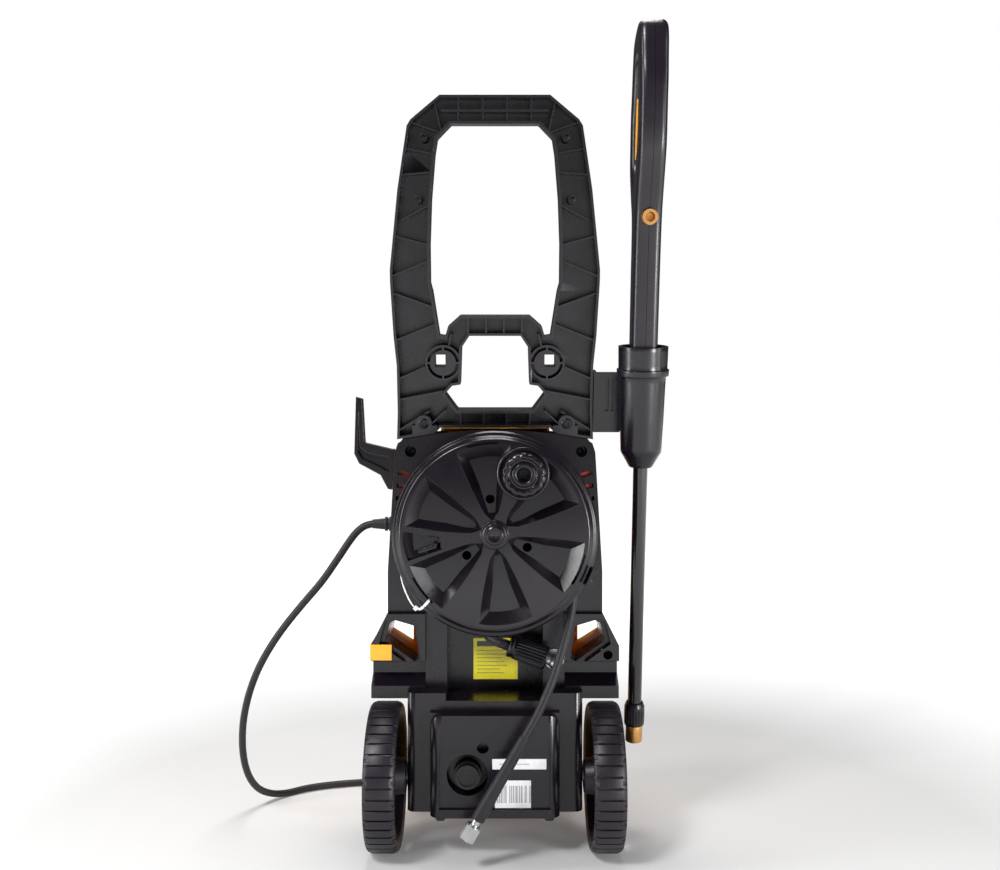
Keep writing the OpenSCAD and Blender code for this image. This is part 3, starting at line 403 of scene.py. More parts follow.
def slab(outlines, low, high, edge, steps=3):
    """A flat shape with holes, from z = low to z = high, whose edges are rounded by edge."""
    curve = bpy.data.curves.new("slab", "CURVE")
    curve.dimensions = "2D"
    curve.fill_mode = "BOTH"
    for outline in outlines:
        spline = curve.splines.new("POLY")
        spline.points.add(len(outline) - 1)
        for point, (x, y) in zip(spline.points, outline):
            point.co = (x, y, 0, 1)
        spline.use_cyclic_u = True
    curve.extrude = (high - low) / 2 - edge
    curve.bevel_depth = edge
    curve.bevel_resolution = steps
    curve.offset = -edge
    item = bpy.data.objects.new("slab", curve)
    bpy.context.scene.collection.objects.link(item)
    bpy.context.view_layer.update()
    mesh = bpy.data.meshes.new_from_object(item.evaluated_get(bpy.context.evaluated_depsgraph_get()))
    bpy.data.objects.remove(item)
    bm = bmesh.new()
    bm.from_mesh(mesh)
    bpy.data.meshes.remove(mesh)
    bmesh.ops.translate(bm, verts=bm.verts, vec=(0, 0, (low + high) / 2))
    return mesh_of(bm)


def joined(*parts):
    """One mesh out of several, each a mesh or a (mesh, matrix) pair."""
    bm = bmesh.new()
    for part in parts:
        mesh, matrix = part if isinstance(part, tuple) else (part, Matrix.Identity(4))
        mesh.transform(matrix)
        bm.from_mesh(mesh)
        bpy.data.meshes.remove(mesh)
    mesh = bpy.data.meshes.new("part")
    bm.to_mesh(mesh)
    bm.free()
    return mesh


def carved(mesh, cutters, mode="DIFFERENCE"):
    """The mesh with the cutters taken away from it, or added to it."""
    body = bpy.data.objects.new("body", mesh)
    tool = bpy.data.objects.new("tool", cutters)
    for item in (body, tool):
        bpy.context.scene.collection.objects.link(item)
    cut = body.modifiers.new("cut", "BOOLEAN")
    cut.operation = mode
    cut.object = tool
    cut.solver = "EXACT"
    cut.use_self = True
    bpy.context.view_layer.update()
    result = bpy.data.meshes.new_from_object(body.evaluated_get(bpy.context.evaluated_depsgraph_get()))
    for item in (body, tool):
        bpy.data.objects.remove(item)
    return result


def soften(item, width, segments=2, angle=35):
    """Rounds a piece's sharp edges by width, in millimetres."""
    weld = item.modifiers.new("weld", "WELD")
    weld.merge_threshold = 1e-6
    bevel = item.modifiers.new("edges", "BEVEL")
    bevel.width = width * MM
    bevel.segments = segments
    bevel.limit_method = "ANGLE"
    bevel.angle_limit = math.radians(angle)
    bevel.harden_normals = False
    bevel.use_clamp_overlap = True
    bevel.miter_outer = "MITER_ARC"
    return item


def prism(points, low, high):
    """A plain closed prism, used as a cutter."""
    bm = bmesh.new()
    rings = [[bm.verts.new((x, y, z)) for x, y in points] for z in (low, high)]
    count = len(points)
    bm.faces.new(rings[0][::-1])
    bm.faces.new(rings[1])
    for i in range(count):
        k = (i + 1) % count
        bm.faces.new((rings[0][i], rings[0][k], rings[1][k], rings[1][i]))
    return mesh_of(bm)


def loft(rings):
    """A closed solid through rings of points that all have as many points."""
    bm = bmesh.new()
    rows = [[bm.verts.new(p) for p in ring] for ring in rings]
    count = len(rows[0])
    bm.faces.new(rows[0][::-1])
    bm.faces.new(rows[-1])
    for lower, upper in zip(rows, rows[1:]):
        for i in range(count):
            k = (i + 1) % count
            bm.faces.new((lower[i], lower[k], upper[k], upper[i]))
    return mesh_of(bm)


def disc_points(radius, count=32, x=0.0, y=0.0):
    """Points round a circle."""
    return [(x + radius * math.cos(math.tau * k / count), y + radius * math.sin(math.tau * k / count))
            for k in range(count)]


def turn_z(degrees):
    """A turn about z."""
    return Matrix.Rotation(math.radians(degrees), 4, "Z")


def shift(x, y, z):
    """A move, in millimetres."""
    return Matrix.Translation((x, y, z))


def flex(name, points, diameter, body, slot, resolution=6):
    """A cord or hose: one open spline with a round section, through points in metres."""
    curve = bpy.data.curves.new(name, "CURVE")
    curve.dimensions = "3D"
    curve.bevel_depth = diameter / 2
    curve.bevel_resolution = resolution
    curve.use_fill_caps = True
    spline = curve.splines.new("POLY")
    spline.points.add(len(points) - 1)
    for point, co in zip(spline.points, points):
        point.co = (*co, 1)
    spline.use_smooth = True
    curve.materials.append(FINISHES[slot])
    item = bpy.data.objects.new(name, curve)
    bpy.context.scene.collection.objects.link(item)
    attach(item, body)
    return item


def through(points, steps=4):
    """A smooth open curve through points of the design frame, in metres."""
    return [at(*q) for q in smooth_line([Vector(p) for p in points], steps)]


# ---------------------------------------------------------------- mains cord
CORD_D = 9
CORD_ROUTE = [
    (-152, 42, 385), (-162, 42, 382), (-172, 42, 374), (-182, 42, 361), (-196, 42, 340),
    (-215, 42, 313), (-238, 42, 286), (-260, 43, 259), (-279, 46, 232), (-296, 52, 202),
    (-309, 60, 170), (-318, 70, 137), (-323, 83, 104), (-324, 98, 73), (-321, 116, 46),
    (-314, 137, 25), (-302, 160, 11), (-286, 180, 4.9), (-264, 198, 4.8), (-238, 211, 4.8),
    (-208, 220, 4.8), (-175, 226, 4.8), (-140, 229.5, 4.8), (-105, 231, 4.8), (-70, 231.5, 4.8),
    (-38, 231.5, 4.8)
]
COIL_AT = Vector((-38, 309))
COIL_PITCH = 9.33
COIL_ENTRY, COIL_OUTER, COIL_LAYER_TURNS, COIL_LAYERS = 77.5, 68, 3, 4
# Points in a turn, points in the climb to the next layer, points past the last full turn
COIL_STEPS, COIL_CLIMB, COIL_TAIL = 36, 12, 4


def coil_points():
    """The turns of the coil: each layer winds in or out by three turns, then climbs to the next."""
    points = []
    per_layer = COIL_LAYER_TURNS * COIL_STEPS
    for step in range(1, per_layer * COIL_LAYERS + COIL_TAIL):
        turns = step / COIL_STEPS
        layer = min(int((step - 1) / per_layer), COIL_LAYERS - 1)
        inside = min((step - layer * per_layer) / per_layer, 1)
        inwards = inside if layer % 2 == 0 else 1 - inside
        radius = COIL_OUTER - COIL_LAYER_TURNS * COIL_PITCH * inwards
        if turns < 0.25:
            radius += (COIL_ENTRY - COIL_OUTER) * math.cos(turns * math.tau) ** 2
        climb = max(0.0, min(1.0, (step - layer * per_layer) / COIL_CLIMB)) if layer else 1
        height = CORD_D / 2 + 0.3 + COIL_PITCH * (layer - 1 + climb if layer else 0)
        angle = math.tau * turns - math.pi / 2
        points.append((COIL_AT.x + radius * math.cos(angle), COIL_AT.y + radius * math.sin(angle),
                       height))
    return points


coil_turns = coil_points()
TAIL = [(14, 262, 32), (33, 271, 29), (50, 281, 22), (60, 293, 17), (64, 306, 16), (64, 322, 16)]
cord_path = (through(CORD_ROUTE) + [at(*p) for p in coil_turns]
             + through([coil_turns[-1]] + TAIL)[1:])
cord = flex("power_cord_flex", cord_path, CORD_D * MM, "root", "cord_black")
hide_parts("power_cord", "cord_coil")

# ---------------------------------------------------------------- high-pressure hose
HOSE_D = 10
WIND_RADII = (57.6, 68.0, 78.5)
WIND_TURNS = 6
WIND_LOW, WIND_PITCH = 1.6, 10.45
# Points in a turn, and points in the rise to the next layer
WIND_STEPS, WIND_RISE = 48, 20
WIND_LEAVES = math.radians(3.4)
FREE_ROUTE = [
    (89.5, -40, 388), (91, -43, 366), (92, -46, 344), (91.5, -50, 322), (88.8, -54, 300),
    (84.8, -58, 280), (79.8, -61, 261), (73.5, -64, 240), (66.2, -66.5, 218), (57.4, -68.6, 197),
    (47, -69.6, 175), (34.6, -70, 153)
]
HOSE_END = Vector((34.6, -70, 153))
HOSE_DIR = Vector((-0.5, 0, -0.8660254))


def wound_points():
    """Three layers of turns on the drum, each winding back over the one below, from the inside out."""
    points = []
    per_layer = WIND_TURNS * WIND_STEPS
    last = len(WIND_RADII) - 1
    for step in range(per_layer * (last + 1) + 1):
        layer = min(step // per_layer, last)
        share = (step - layer * per_layer) / per_layer
        along = share if layer % 2 == 0 else 1 - share
        radius = WIND_RADII[layer]
        if layer < last:
            rise = max(0.0, 1 - (1 - share) * per_layer / WIND_RISE)
            radius += (WIND_RADII[layer + 1] - radius) * rise * rise * (3 - 2 * rise)
        angle = WIND_LEAVES - math.tau * step / WIND_STEPS
        points.append(REEL @ Vector((radius * math.cos(angle), radius * math.sin(angle),
                                     WIND_LOW + WIND_PITCH * (WIND_TURNS - 1) * along)))
    return points


wound_path = wound_points()
wound = flex("hose_turns", wound_path, HOSE_D * MM, "reel", "hose_black", resolution=4)
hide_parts("hose_wound")


def hose_end_place(along):
    """Local z runs down the hose's end, away from the reel."""
    turn = Matrix.Rotation(math.radians(210), 4, "Y")
    return WORLD @ Matrix.Translation(HOSE_END + along * HOSE_DIR) @ turn


def bend_sleeve():
    """The rubber sleeve that keeps the hose from kinking at its fitting: a long smooth taper."""
    profile = [(5.02, 0), (5.7, 0), (6.1, 1.4), (6.4, 20), (6.8, 45), (7.3, 72), (7.5, 76),
               (7.5, 79), (7.8, 80.5), (7.8, 106), (7.2, 107.6), (5.02, 107.6)]
    radii = [0, 0.5, 3, 20, 20, 8, 1, 1, 1, 0.8, 0.6, 0]
    item = finish_mesh("hose_bend_sleeve", turned(rounded(profile, radii, 3), 56),
                       hose_end_place(0.3), "root", "rubber_black", 30)
    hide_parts("hose_sleeve")
    return item


sleeve = bend_sleeve()
free_path = through(FREE_ROUTE) + [at(*(HOSE_END + s * HOSE_DIR)) for s in (20, 50, 80, 104)]
free = flex("hose_free_end", free_path, HOSE_D * MM, "root", "hose_black")
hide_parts("hose_free")

# ---------------------------------------------------------------- reel
# Heights along the reel's axis: the flange's face and back, the floors of its petals, and how far
# a cutter reaches
FACE, BACK = 78, 62
FLOOR_Z = 66
CUT_FROM, CUT_TO = 40, 100
# Radii of the petals' ends, of the bore, of the three holes and where they stand, of the slots
PETAL_OUT, PETAL_IN = 97, 16.5
AXLE_BORE_R = 4.2
HOLE_REACH, HOLE_R = 40, 5.2
SLOT_SPAN, SLOT_IN, SLOT_OUT = 20, 101.6, 104.8
KNOB_REACH, KNOB_ANGLE = 76, math.radians(65)
PETAL_ANGLES = [37.5 + 60 * k for k in range(6)]
KNOB = Vector((KNOB_REACH * math.cos(KNOB_ANGLE), KNOB_REACH * math.sin(KNOB_ANGLE)))
# The window near the rim: its outline, the gaps round its snap tongue, then tongue and hook
SNAP_FLOOR, SNAP_TOP = 65.4, 72
SNAP_WINDOW = [(-103.4, 3.6), (-61, -2), (-59.6, -16.5), (-97.5, -29.5), (-101.5, -17), (-103.4, -6)]
SNAP_GAP = [(-102.6, 2.6), (-102.6, -6), (-97.6, -27.6), (-90, -25.4), (-92.6, -12), (-93, 2.2)]
SNAP_SLIT = [(-91, -25.6), (-61.6, -16.2), (-61.6, -9.5), (-91, -18.6)]
SNAP_TONGUE = [(-87, -22.4), (-66, -15.6), (-64.5, -9.6), (-68.5, -8.8), (-70.5, -12.1), (-86, -17.2)]
SNAP_HOOK = [(-80, 0.9), (-64.5, -0.8), (-63.6, -7.4), (-79.4, -6.6)]
COLLAR = [(0.01, BACK + 1), (30.4, BACK + 1), (29.8, 80), (28.6, 81), (26.8, 81), (25.6, 80),
          (25.4, FACE), (0.01, FACE)]
BOSS = [(0.01, BACK + 1), (19, BACK + 1), (17, FACE), (15.4, 80), (0.01, 80)]


def petal_ring(share, z):
    """A petal's outline between its floor (share 0) and its upper edge (share 1)."""
    outer = PETAL_OUT - 10.5 * (1 - share)
    inner = PETAL_IN + 8 * (1 - share)
    side = []
    for k in range(9):
        r = inner + (outer - inner) * k / 8
        wide = 0.315 * r * min(1, 0.25 + (r - PETAL_IN) / 9) + 1.6 * math.sin(math.pi * k / 8)
        side.append((r, wide - (1 - share) * min(10, 0.5 * wide)))
    corner = math.atan2(side[-1][1], side[-1][0])
    reach = math.hypot(*side[-1])
    arc = [(reach * math.cos(a), reach * math.sin(a)) for a in
           (corner * (1 - 2 * k / 10) for k in range(1, 10))]
    outline = side + arc + [(x, -y) for x, y in reversed(side)]
    return [(x, y, z) for x, y in outline]


def arc_slot(middle, span, low, high):
    """A slot round the axis, between two radii; middle and span are in degrees."""
    angles = [math.radians(middle - span / 2 + span * k / 12) for k in range(13)]
    return ([(low * math.cos(a), low * math.sin(a)) for a in angles]
            + [(high * math.cos(a), high * math.sin(a)) for a in reversed(angles)])


def reel_flange():
    """The front flange: a turned disc with six petals sunk in it, a collar, a boss and openings."""
    rim = [(AXLE_BORE_R, BACK), (110, BACK), (113, 59.6), (116, 60.4), (117, 63), (117, 66.6),
           (115, 68.8), (112, 69.4), (110.2, 71.4), (109.6, 75), (106.8, FACE), (AXLE_BORE_R, FACE)]
    base = turned(rounded(rim, [0, 0, 1, 1, 1, 1.2, 1, 1.2, 1.2, 2, 3, 0], 3), 180)
    past = (FACE + 2 - FLOOR_Z) / (FACE - FLOOR_Z)
    petals = [(loft([petal_ring(0, FLOOR_Z), petal_ring(past, FACE + 2)]), turn_z(angle))
              for angle in PETAL_ANGLES]
    flange = carved(base, joined(*petals, prism(SNAP_WINDOW[::-1], SNAP_FLOOR, FACE + 4)))
    collar = turned(rounded(COLLAR, [0, 0, 1, 1, 1, 1, 0.5, 0], 3), 72)
    boss = turned(rounded(BOSS, [0, 0, 1.5, 1, 0], 3), 96)
    flange = carved(flange, joined((collar, shift(KNOB.x, KNOB.y, 0))), "UNION")
    flange = carved(flange, boss, "UNION")
    cuts = [prism(disc_points(AXLE_BORE_R, 24), CUT_FROM, CUT_TO)]
    for angle in PETAL_ANGLES[1::2]:
        spot = HOLE_REACH * Vector((math.cos(math.radians(angle)), math.sin(math.radians(angle))))
        cuts.append(prism(disc_points(HOLE_R, 28, spot.x, spot.y), CUT_FROM, CUT_TO))
        cuts.append(prism(arc_slot(angle, SLOT_SPAN, SLOT_IN, SLOT_OUT), CUT_FROM, CUT_TO))
    cuts += [prism(outline, CUT_FROM, SNAP_TOP) for outline in (SNAP_GAP, SNAP_SLIT)]
    flange = carved(flange, joined(*cuts))
    item = finish_mesh("reel_flange_face", flange, REEL, "reel", "reel_black", 30)
    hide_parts("reel_flange")
    soften(item, 0.55, 2, 28)
    # The snap tongue and its hook stand inside the window
    tongue = slab([rounded(SNAP_TONGUE, 1.2)], BACK + 0.5, SNAP_TOP, 0.6)
    hook = slab([rounded(SNAP_HOOK, 1)], BACK + 0.5, SNAP_TOP - 1.5, 0.5)
    finish_mesh("reel_snap_tongue", joined(tongue, hook), REEL, "reel", "reel_black")


def hub_cap():
    """The stepped cap over the reel's axle."""
    profile = [(0.01, 70), (4, 70), (4, 80.1), (13.8, 80.1), (13.8, 84.6), (12.4, 85.8), (11.2, 85.8),
               (10.2, 88.2), (8.8, 89), (6.6, 89), (6, 87.6), (2.6, 87.4), (1.6, 86.6), (0.01, 86.6)]
    item = finish_mesh("reel_hub_cover", turned(rounded(profile, 0.6, 2), 64), REEL, "reel",
                       "reel_black", 30)
    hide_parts("reel_hub_cap")


def crank_knob():
    """The round knob: a waisted neck, a lobed rim and a groove round the screw's hole."""
    profile = [(6.1, 0), (21.5, 0), (20, 5), (19, 12), (20.4, 19), (23.6, 26), (24.5, 30),
               (24.5, 37.4), (23, 41), (21, 42), (18.6, 42), (17.4, 40.4), (17, 38.4), (13.6, 38.4),
               (13, 40.4), (11.8, 41.4), (9.4, 41.4), (8, 40.4), (7.2, 37), (7.2, 26), (6.1, 26)]
    radii = [0, 1.5, 2, 3, 3, 2, 1.5, 2, 1.5, 1, 0.8, 0.8, 1.2, 1.2, 0.8, 0.8, 0.8, 1, 1, 0, 0]

    def lobes(angle, radius, height):
        share = max(0.0, min(1.0, (height - 18) / 8)) if radius > 18.5 else 0
        return radius - 1.1 * share * (0.5 + 0.5 * math.cos(14 * angle)) ** 3

    item = finish_mesh("crank_knob_grip", turned(rounded(profile, radii, 3), 168, lobes),
                       REEL @ shift(KNOB.x, KNOB.y, FACE + 0.3), "crank_knob_body", "reel_black", 30)
    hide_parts("crank_knob")


def polar(points):
    """Points given as radius, angle in degrees and height, as vectors."""
    return [Vector((r * math.cos(math.radians(angle)), r * math.sin(math.radians(angle)), z))
            for r, angle, z in points]


STRAP_HALF_WIDE, STRAP_HALF_THICK = 1.5, 0.7
STRAP_SECTION = [(-1, -0.6), (-0.8, -1), (0.8, -1), (1, -0.6), (1, 0.6), (0.8, 1), (-0.8, 1), (-1, 0.6)]


def cable_tie():
    """A thin strap that hangs in a loop from the rim's slot, closed in its little head."""
    line = polar([(104.6, 225, 56), (104.6, 225, 68), (105, 225, 77), (107.6, 225, 82),
                  (113, 225, 83.6), (118.4, 224.6, 80), (121.4, 223, 75), (122.2, 219.6, 71.6),
                  (121.2, 215.4, 69), (119.8, 211, 66), (118.6, 207, 61), (118, 204.6, 55)])
    fine = smooth_line(line, 4)
    rings = []
    for i, p in enumerate(fine):
        ahead = (fine[min(i + 1, len(fine) - 1)] - fine[max(i - 1, 0)]).normalized()
        out = Vector((p.x, p.y, 0)).normalized()
        side = ahead.cross(out).normalized()
        flat = side.cross(ahead).normalized()
        rings.append([p + STRAP_HALF_WIDE * s * side + STRAP_HALF_THICK * f * flat
                      for s, f in STRAP_SECTION])
    head = slab([rounded([(-2.6, -2.2), (2.6, -2.2), (2.6, 2.2), (-2.6, 2.2)], 0.8)], -1.6, 1.6, 0.5)
    spot = line[6]
    item = finish_mesh("cable_tie_strap", joined(loft(rings), (head, shift(*spot) @ turn_z(228))),
                       REEL, "reel", "tie_white", 40)
    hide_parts("cable_tie")


# ---------------------------------------------------------------- wheels
# Radius, width, and how far out the outer face stands from the middle plane
WHEEL_R, WHEEL_W, WHEEL_OUT = 87, 37, 149
TREAD_BLOCKS = 44
# The openings in the web: their number, their radii and half the angle of each
WEB_HOLES, WEB_IN, WEB_OUT, WEB_HALF = 5, 33, 61, math.radians(22)


def wheel_disc():
    """The wheel without its tread: hub, dished web with five openings, and rim."""
    profile = [(6.1, -6), (19, -6), (20, -5), (22.5, 8), (66, 14.5), (70, 12), (73.5, 2.4), (76, 1),
               (81, 1), (81, WHEEL_W - 1), (76, WHEEL_W - 1), (73.5, WHEEL_W - 2.4),
               (70, WHEEL_W - 13), (66, WHEEL_W - 14.5), (26, WHEEL_W - 10), (21, WHEEL_W - 3),
               (19, WHEEL_W - 2), (6.1, WHEEL_W - 2)]
    disc = turned(rounded(profile, 1.4, 3), 120)
    side = [(WEB_IN * math.cos(WEB_HALF * s), WEB_IN * math.sin(WEB_HALF * s))
            for s in (-0.9, -0.3, 0.3, 0.9)]
    side += [(WEB_OUT * math.cos(WEB_HALF * s), WEB_OUT * math.sin(WEB_HALF * s))
             for s in (1, 0.5, 0, -0.5, -1)]
    holes = [(prism(rounded(side, 5, 4), -20, 60), turn_z(360 / WEB_HOLES * (k + 0.5)))
             for k in range(WEB_HOLES)]
    return carved(disc, joined(*holes))


def wheel_tread():
    """The tyre: a ring of blocks with a groove between each two and stepped shoulders."""
    across = [(79, 1.4), (82, 0), (83.4, 0.4), (85.6, 2.6), (86.4, 5.2), (87, 6.4), (87, WHEEL_W - 6.4),
              (86.4, WHEEL_W - 5.2), (85.6, WHEEL_W - 2.6), (83.4, WHEEL_W - 0.4), (82, WHEEL_W),
              (79, WHEEL_W - 1.4)]
    # Places round one block: the groove's floor, its walls, then the flats and the shoulder's notch
    steps = [0.0, 0.07, 0.095, 0.34, 0.365, 0.635, 0.66, 0.905, 0.93]
    bm = bmesh.new()
    rings = []
    for block in range(TREAD_BLOCKS):
        for k, step in enumerate(steps):
            angle = math.tau * (block + step) / TREAD_BLOCKS
            groove = k in (0, 1, 8)
            notch = k in (4, 5)
            ring = []
            for i, (radius, height) in enumerate(across):
                low = min(i, len(across) - 1 - i)
                r = radius
                if groove and low >= 2:
                    r -= 2.4 if low >= 5 else 1.6
                if notch and block % 2 and low in (2, 3):
                    r -= 2.0
                ring.append(bm.verts.new((r * math.cos(angle), r * math.sin(angle), height)))
            rings.append(ring)
    for near, far in zip(rings, rings[1:] + rings[:1]):
        for a in range(len(across)):
            b = (a + 1) % len(across)
            bm.faces.new((near[a], far[a], far[b], near[b]))
    return mesh_of(bm)


def wheels():
    """Both wheels, the left one as the right one's mirror image."""
    for side, name in ((-1, "wheel_left"), (1, "wheel_right")):
        place = (WORLD @ Matrix.Scale(side, 4, (1, 0, 0)) @ shift(WHEEL_OUT - WHEEL_W, 0, WHEEL_R)
                 @ Matrix.Rotation(math.pi / 2, 4, "Y"))
        disc = finish_mesh(name + "_disc", wheel_disc(), place, name + "_body", "wheel_black", 30)
        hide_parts(name)
        soften(disc, 0.8, 2, 40)
        tread = finish_mesh(name + "_tread", wheel_tread(), place, name + "_body", "wheel_black", 30)
        soften(tread, 0.3, 1, 40)


# ---------------------------------------------------------------- hose fittings
# The ends of the hand nut's axis
NUT_A, NUT_B = Vector((16.5, -2, 243)), Vector((61.5, -2, 227.5))


def hand_nut():
    """The ribbed nut that holds the link pipe on the outlet."""
    along = (NUT_B - NUT_A).normalized()
    place = WORLD @ Matrix.Translation(NUT_A) @ Matrix.Rotation(math.acos(along.z), 4, "Y")
    profile = [(6.9, 0), (11.8, 0), (12.8, 1), (12.8, 4.6), (12.2, 5.4), (12.4, 7), (13.2, 9),
               (14.3, 43), (14.3, 46), (13.2, 47.4), (10.6, 47.4), (10, 40), (6.9, 40)]

    def ribs(angle, radius, height):
        share = max(0.0, min(1.0, (height - 7.5) / 3, (45 - height) / 2)) if radius > 12.3 else 0
        return radius - share * 1.25 * (0.5 + 0.5 * math.cos(20 * angle)) ** 2

    fine = []
    dense = rounded(profile, 0.7, 2)
    for (r0, z0), (r1, z1) in zip(dense, dense[1:] + dense[:1]):
        fine.append((r0, z0))
        if abs(z1 - z0) > 12 and r0 > 12:
            fine += [(r0 + (r1 - r0) * k / 10, z0 + (z1 - z0) * k / 10) for k in range(1, 10)]
    item = finish_mesh("hand_nut_ribbed", turned(fine, 200, ribs), place, "hand_nut_body", "trim_black", 32)
    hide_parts("hand_nut")


# ---------------------------------------------------------------- gun
GUN_OUTLINE = [
    (0, 14), (11, 17.5), (16.2, 28), (18, 90), (19.6, 160), (20.4, 225), (20.2, 262), (23, 291),
    (33, 310), (45, 334), (50.5, 352), (52, 385), (51.6, 413), (45, 438), (33.6, 475), (23, 490),
    (6, 500), (-12, 505.5), (-25.6, 501), (-32.6, 487), (-37.8, 464), (-43.4, 440), (-45.2, 405),
    (-44.6, 372), (-39, 348), (-28, 312), (-23.4, 288), (-20.6, 240), (-18.6, 160), (-17.2, 90),
    (-16.2, 28), (-11, 17.5)
]
GUN_WINDOW = [
    (11, 329), (19, 334), (27, 343), (32.4, 354), (34.6, 372), (36, 392), (35.6, 408), (31, 424),
    (25.6, 443), (19.4, 460), (10, 467.5), (0, 470), (-7.6, 465), (-11, 450), (-12.4, 430),
    (-13, 405), (-12.6, 384), (-8, 368), (-1, 350), (4.6, 336)
]
GUN_HALF, GUN_EDGE, GUN_SEAM = 15, 7.4, 0.18
# The grip grows wider by this share over its upper end
GUN_SWELL, SWELL_FROM, SWELL_OVER = 0.07, 425, 60
INLET_Y, INLET_R = 294, 9.2
GUN_SCREWS = [(0, 60), (0, 200), (-30, 330), (-32, 440), (42, 420), (4, 268)]
GUN_SCREW_PIT = [(0.01, 22), (0.01, 13.2), (2.2, 13.2), (2.2, 14.6), (3.2, 15.4), (3.2, 22)]


def gun_case():
    """The two halves of the gun's casing, a hair apart at the seam, with their screw pits."""
    full = slab([smooth_loop(GUN_OUTLINE, 4), smooth_loop(GUN_WINDOW, 4)],
                -GUN_HALF, GUN_HALF, GUN_EDGE, 6)
    for vertex in full.vertices:
        vertex.co.z *= 1 + GUN_SWELL * max(0.0, min(1.0, (vertex.co.y - SWELL_FROM) / SWELL_OVER))
    for side, name in ((-1, "left"), (1, "right")):
        bm = bmesh.new()
        bm.from_mesh(full)
        cut = bmesh.ops.bisect_plane(bm, geom=bm.verts[:] + bm.edges[:] + bm.faces[:], dist=1e-5,
                                     plane_co=(0, 0, GUN_SEAM * side), plane_no=(0, 0, -side),
                                     clear_outer=True)
        seam = [edge for edge in cut["geom_cut"] if isinstance(edge, bmesh.types.BMEdge)]
        bmesh.ops.triangle_fill(bm, edges=seam, use_beauty=True)
        half = mesh_of(bm)
        cuts = [(prism(disc_points(INLET_R, 32), -40, 0),
                 shift(0, INLET_Y, 0) @ Matrix.Rotation(math.pi / 2, 4, "Y"))]
        flip = Matrix.Scale(side, 4, (0, 0, 1))
        cuts += [(turned(GUN_SCREW_PIT, 24), shift(x, y, 0) @ flip) for x, y in GUN_SCREWS]
        half = carved(half, joined(*cuts))
        item = finish_mesh("gun_case_" + name, half, GUN @ SIDEWAYS, "gun", "gun_black", 38)
        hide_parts("gun_shell_" + name)
    bpy.data.meshes.remove(full)


# ---------------------------------------------------------------- screws and small parts
def screw_head(radius, height=3.0):
    """A pan head with a six-lobed socket, its shank behind it; z = 0 is the seat of the head."""
    profile = [(0.01, -3), (0.5 * radius, -3), (0.5 * radius, 0), (radius, 0), (radius, 0.5 * height),
               (0.84 * radius, 0.88 * height), (0.6 * radius, height), (0.5 * radius, height),
               (0.44 * radius, 0.4 * height), (0.01, 0.4 * height)]

    def lobes(angle, r, z):
        return r * (1 + 0.14 * math.cos(6 * angle)) if r < 0.52 * radius and z > 0.3 * height else r

    return turned(profile, 36, lobes)


# Each screw's place across, its height, its seat and its head's radius
CASE_SCREWS = [(-102.5, 475, -40, 4.6), (104.8, 475, -40, 4.6), (135.5, 231, -26, 4.2)]
HANDLE_SCREWS = [(86.5, 22.5, 18, 6.4), (82.7, 356.6, 14, 3.6), (90.3, 286.5, 14, 3.6)]


def screws():
    """The screws of the rear shell, then those of the handle, which come in mirrored pairs."""
    heads = [(screw_head(r), shift(x, z, seat)) for x, z, seat, r in CASE_SCREWS]
    item = finish_mesh("case_screw_heads", joined(*heads), WORLD @ UPRIGHT, "root", "dark_steel", 30)
    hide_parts("case_screws")
    heads = []
    for side in (-1, 1):
        for x, z, seat, r in HANDLE_SCREWS:
            heads.append((screw_head(r, 2.4), shift(side * x, z, seat)))
    item = finish_mesh("handle_screw_heads", joined(*heads), HANDLE @ UPRIGHT, "root", "dark_steel", 30)
    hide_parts("handle_screws")


def crank_screw():
    """The shouldered screw that the knob turns on, with its socket at the bottom of the knob's hole."""
    profile = [(0.01, 0), (6, 0), (6, 22.6), (5.2, 23.6), (3.4, 23.6), (3, 18), (0.01, 18)]

    def socket(angle, r, z):
        return r * (1 + 0.1 * math.cos(6 * angle)) if r < 3.6 and z > 10 else r

    item = finish_mesh("crank_pivot_screw", turned(profile, 48, socket),
                       REEL @ shift(KNOB.x, KNOB.y, FACE), "reel", "dark_steel", 30)
    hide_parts("crank_pin")


CATCH_LOW, CATCH_HIGH = 224.6, 243.4


def wing_tab():
    """The amber catch of the front shell that laps round the left wing."""
    plan = [(-149.9, 1.2), (-124, 1.2), (-124, 2), (-149.1, 2), (-149.1, 60.5), (-149.9, 60.5)]
    outline = rounded(plan, [0.7, 0.3, 0, 0.3, 0, 0], 3)
    finish_mesh("wing_catch", slab([outline], CATCH_LOW, CATCH_HIGH, 0.25, 2), WORLD, "root",
                "amber_plastic", 40)


reel_flange()
hub_cap()
crank_knob()
crank_screw()
screws()
wing_tab()
cable_tie()
wheels()
hand_nut()
gun_case()

# ---------------------------------------------------------------- CAD nodes that stay
# How far each one's sharp edges are rounded, in millimetres
EDGES = {
    "rear_shell": 1.6, "front_shell": 1.6, "front_grille": 0.8, "base_plate": 0.5, "front_feet": 1,
    "handle_frame": 0.5, "handle_cover": 0.8, "gun_holder": 0.8, "cord_hook": 0.9, "axle_caps": 1,
    "water_inlet": 0.8, "inlet_cap": 0.6, "outlet_port": 0.5, "reel_axle": 0.6, "reel_drum": 0.7,
    "hose_clip": 0.5, "trigger": 1.2, "trigger_lock": 0.5, "nozzle_adjuster": 0.4, "nozzle": 0.6,
    "switch_knob": 1.2, "switch_box": 0.8, "plug": 1.2, "cord_gland": 0.5, "hose_nut": 0.4,
    "hose_ferrule": 0.3, "motor_housing": 0.8, "vent_ducts": 0.3,
    "pump_housing": 1.2, "cooling_fan": 0.4, "capacitor": 0.8, "gun_valve": 0.4, "axle": 0.6,
    "rating_label": 0.1, "info_labels": 0.1,
}
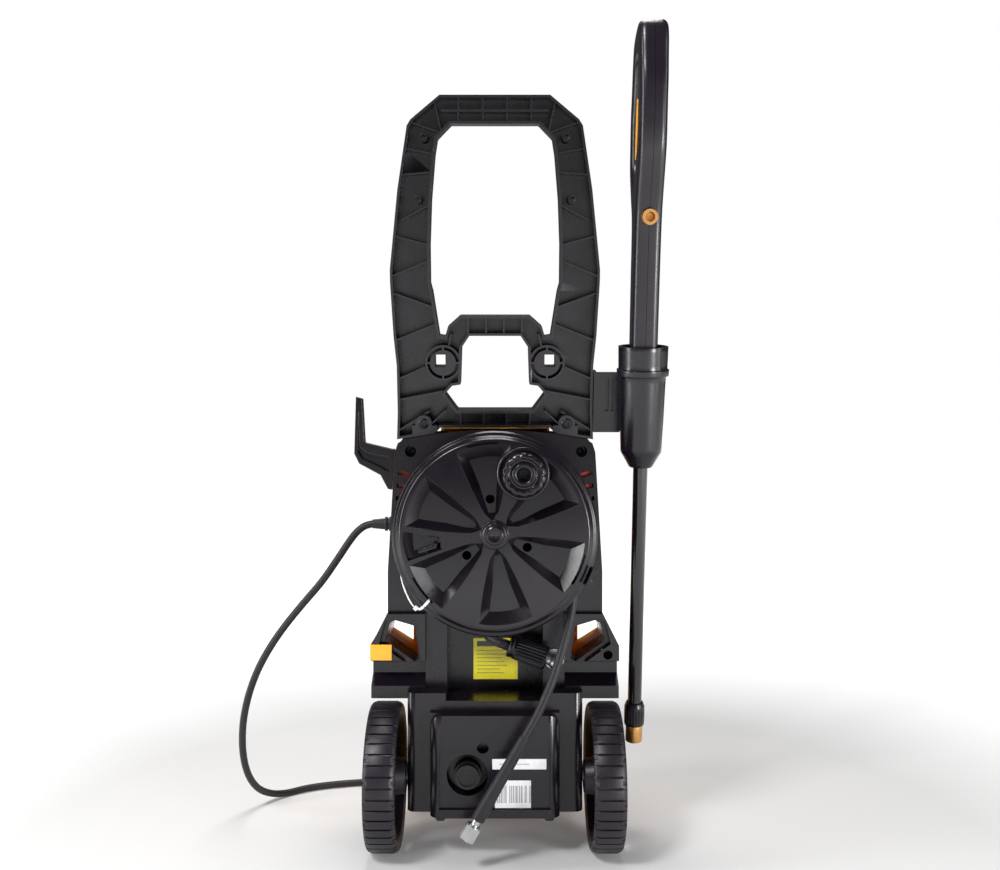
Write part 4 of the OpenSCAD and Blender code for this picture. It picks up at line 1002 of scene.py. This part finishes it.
for part in frame["record"]["subparts"]:
    node = frame["nodes"][part["node"]]
    node.data.materials.clear()
    node.data.materials.append(FINISHES[part["material_slot"]])
    if part["node"] in EDGES:
        soften(node, EDGES[part["node"]])

# ---------------------------------------------------------------- stage
FLOOR_HALF = 9.0


def floor_finish():
    """Pale round the object, and bright further out, where the softboxes don't reach."""
    pale = Nodes("pale_floor")
    pale.set(Base_Color=(0.6, 0.6, 0.6, 1), Roughness=0.9, Emission_Color=(1, 1, 1, 1))
    away = pale.add("ShaderNodeVectorMath", operation="LENGTH")
    pale.link(pale.place, away.inputs[0])
    glow = pale.remap(away.outputs["Value"], 0.1, 1, 0.6, 1.6)
    pale.link(glow, pale.shader.inputs["Emission Strength"])
    return pale.material


floor = bpy.data.objects.new("floor", bpy.data.meshes.new("floor"))
bm = bmesh.new()
bm.faces.new([bm.verts.new((x * FLOOR_HALF, y * FLOOR_HALF, 0))
              for x, y in ((-1, -1), (1, -1), (1, 1), (-1, 1))])
bm.to_mesh(floor.data)
bm.free()
floor.data.materials.append(floor_finish())
bpy.context.scene.collection.objects.link(floor)


MIDDLE = Vector((0, 0, 0.45))
# Each softbox's name, place, width, height and power; all of them aim at the object's middle
SOFTBOXES = [
    ("key", (-1.1, -1.5, 2.1), 0.5, 0.5, 40),
    ("left", (-1.9, -0.5, 0.9), 0.35, 1.6, 24),
    ("right", (1.9, -0.7, 0.9), 0.3, 1.6, 10),
    ("front", (1.8, -1.9, 0.35), 0.5, 0.5, 38),
    ("top", (0, 0.1, 2.4), 0.8, 0.6, 22),
    ("behind", (0, 1.3, 2.7), 1.2, 0.8, 22),
]
for name, place, width, height, power in SOFTBOXES:
    light = bpy.data.lights.new(name, "AREA")
    light.shape = "RECTANGLE"
    light.size, light.size_y, light.energy = width, height, power
    item = bpy.data.objects.new(name, light)
    item.location = place
    item.rotation_euler = (MIDDLE - Vector(place)).to_track_quat("-Z", "Y").to_euler()
    bpy.context.scene.collection.objects.link(item)

# The studio's walls: white behind the object, and dim as a light, so that the softboxes shape it
world = bpy.data.worlds.new("studio")
world.use_nodes = True
tree = world.node_tree
dim = tree.nodes["Background"]
dim.inputs["Color"].default_value = (1, 1, 1, 1)
dim.inputs["Strength"].default_value = 0.07
white = tree.nodes.new("ShaderNodeBackground")
white.inputs["Color"].default_value = (1, 1, 1, 1)
white.inputs["Strength"].default_value = 1.0
either = tree.nodes.new("ShaderNodeMixShader")
tree.links.new(tree.nodes.new("ShaderNodeLightPath").outputs["Is Camera Ray"], either.inputs[0])
tree.links.new(dim.outputs[0], either.inputs[1])
tree.links.new(white.outputs[0], either.inputs[2])
tree.links.new(either.outputs[0], tree.nodes["World Output"].inputs["Surface"])
bpy.context.scene.world = world
bpy.context.scene.view_settings.view_transform = "Standard"
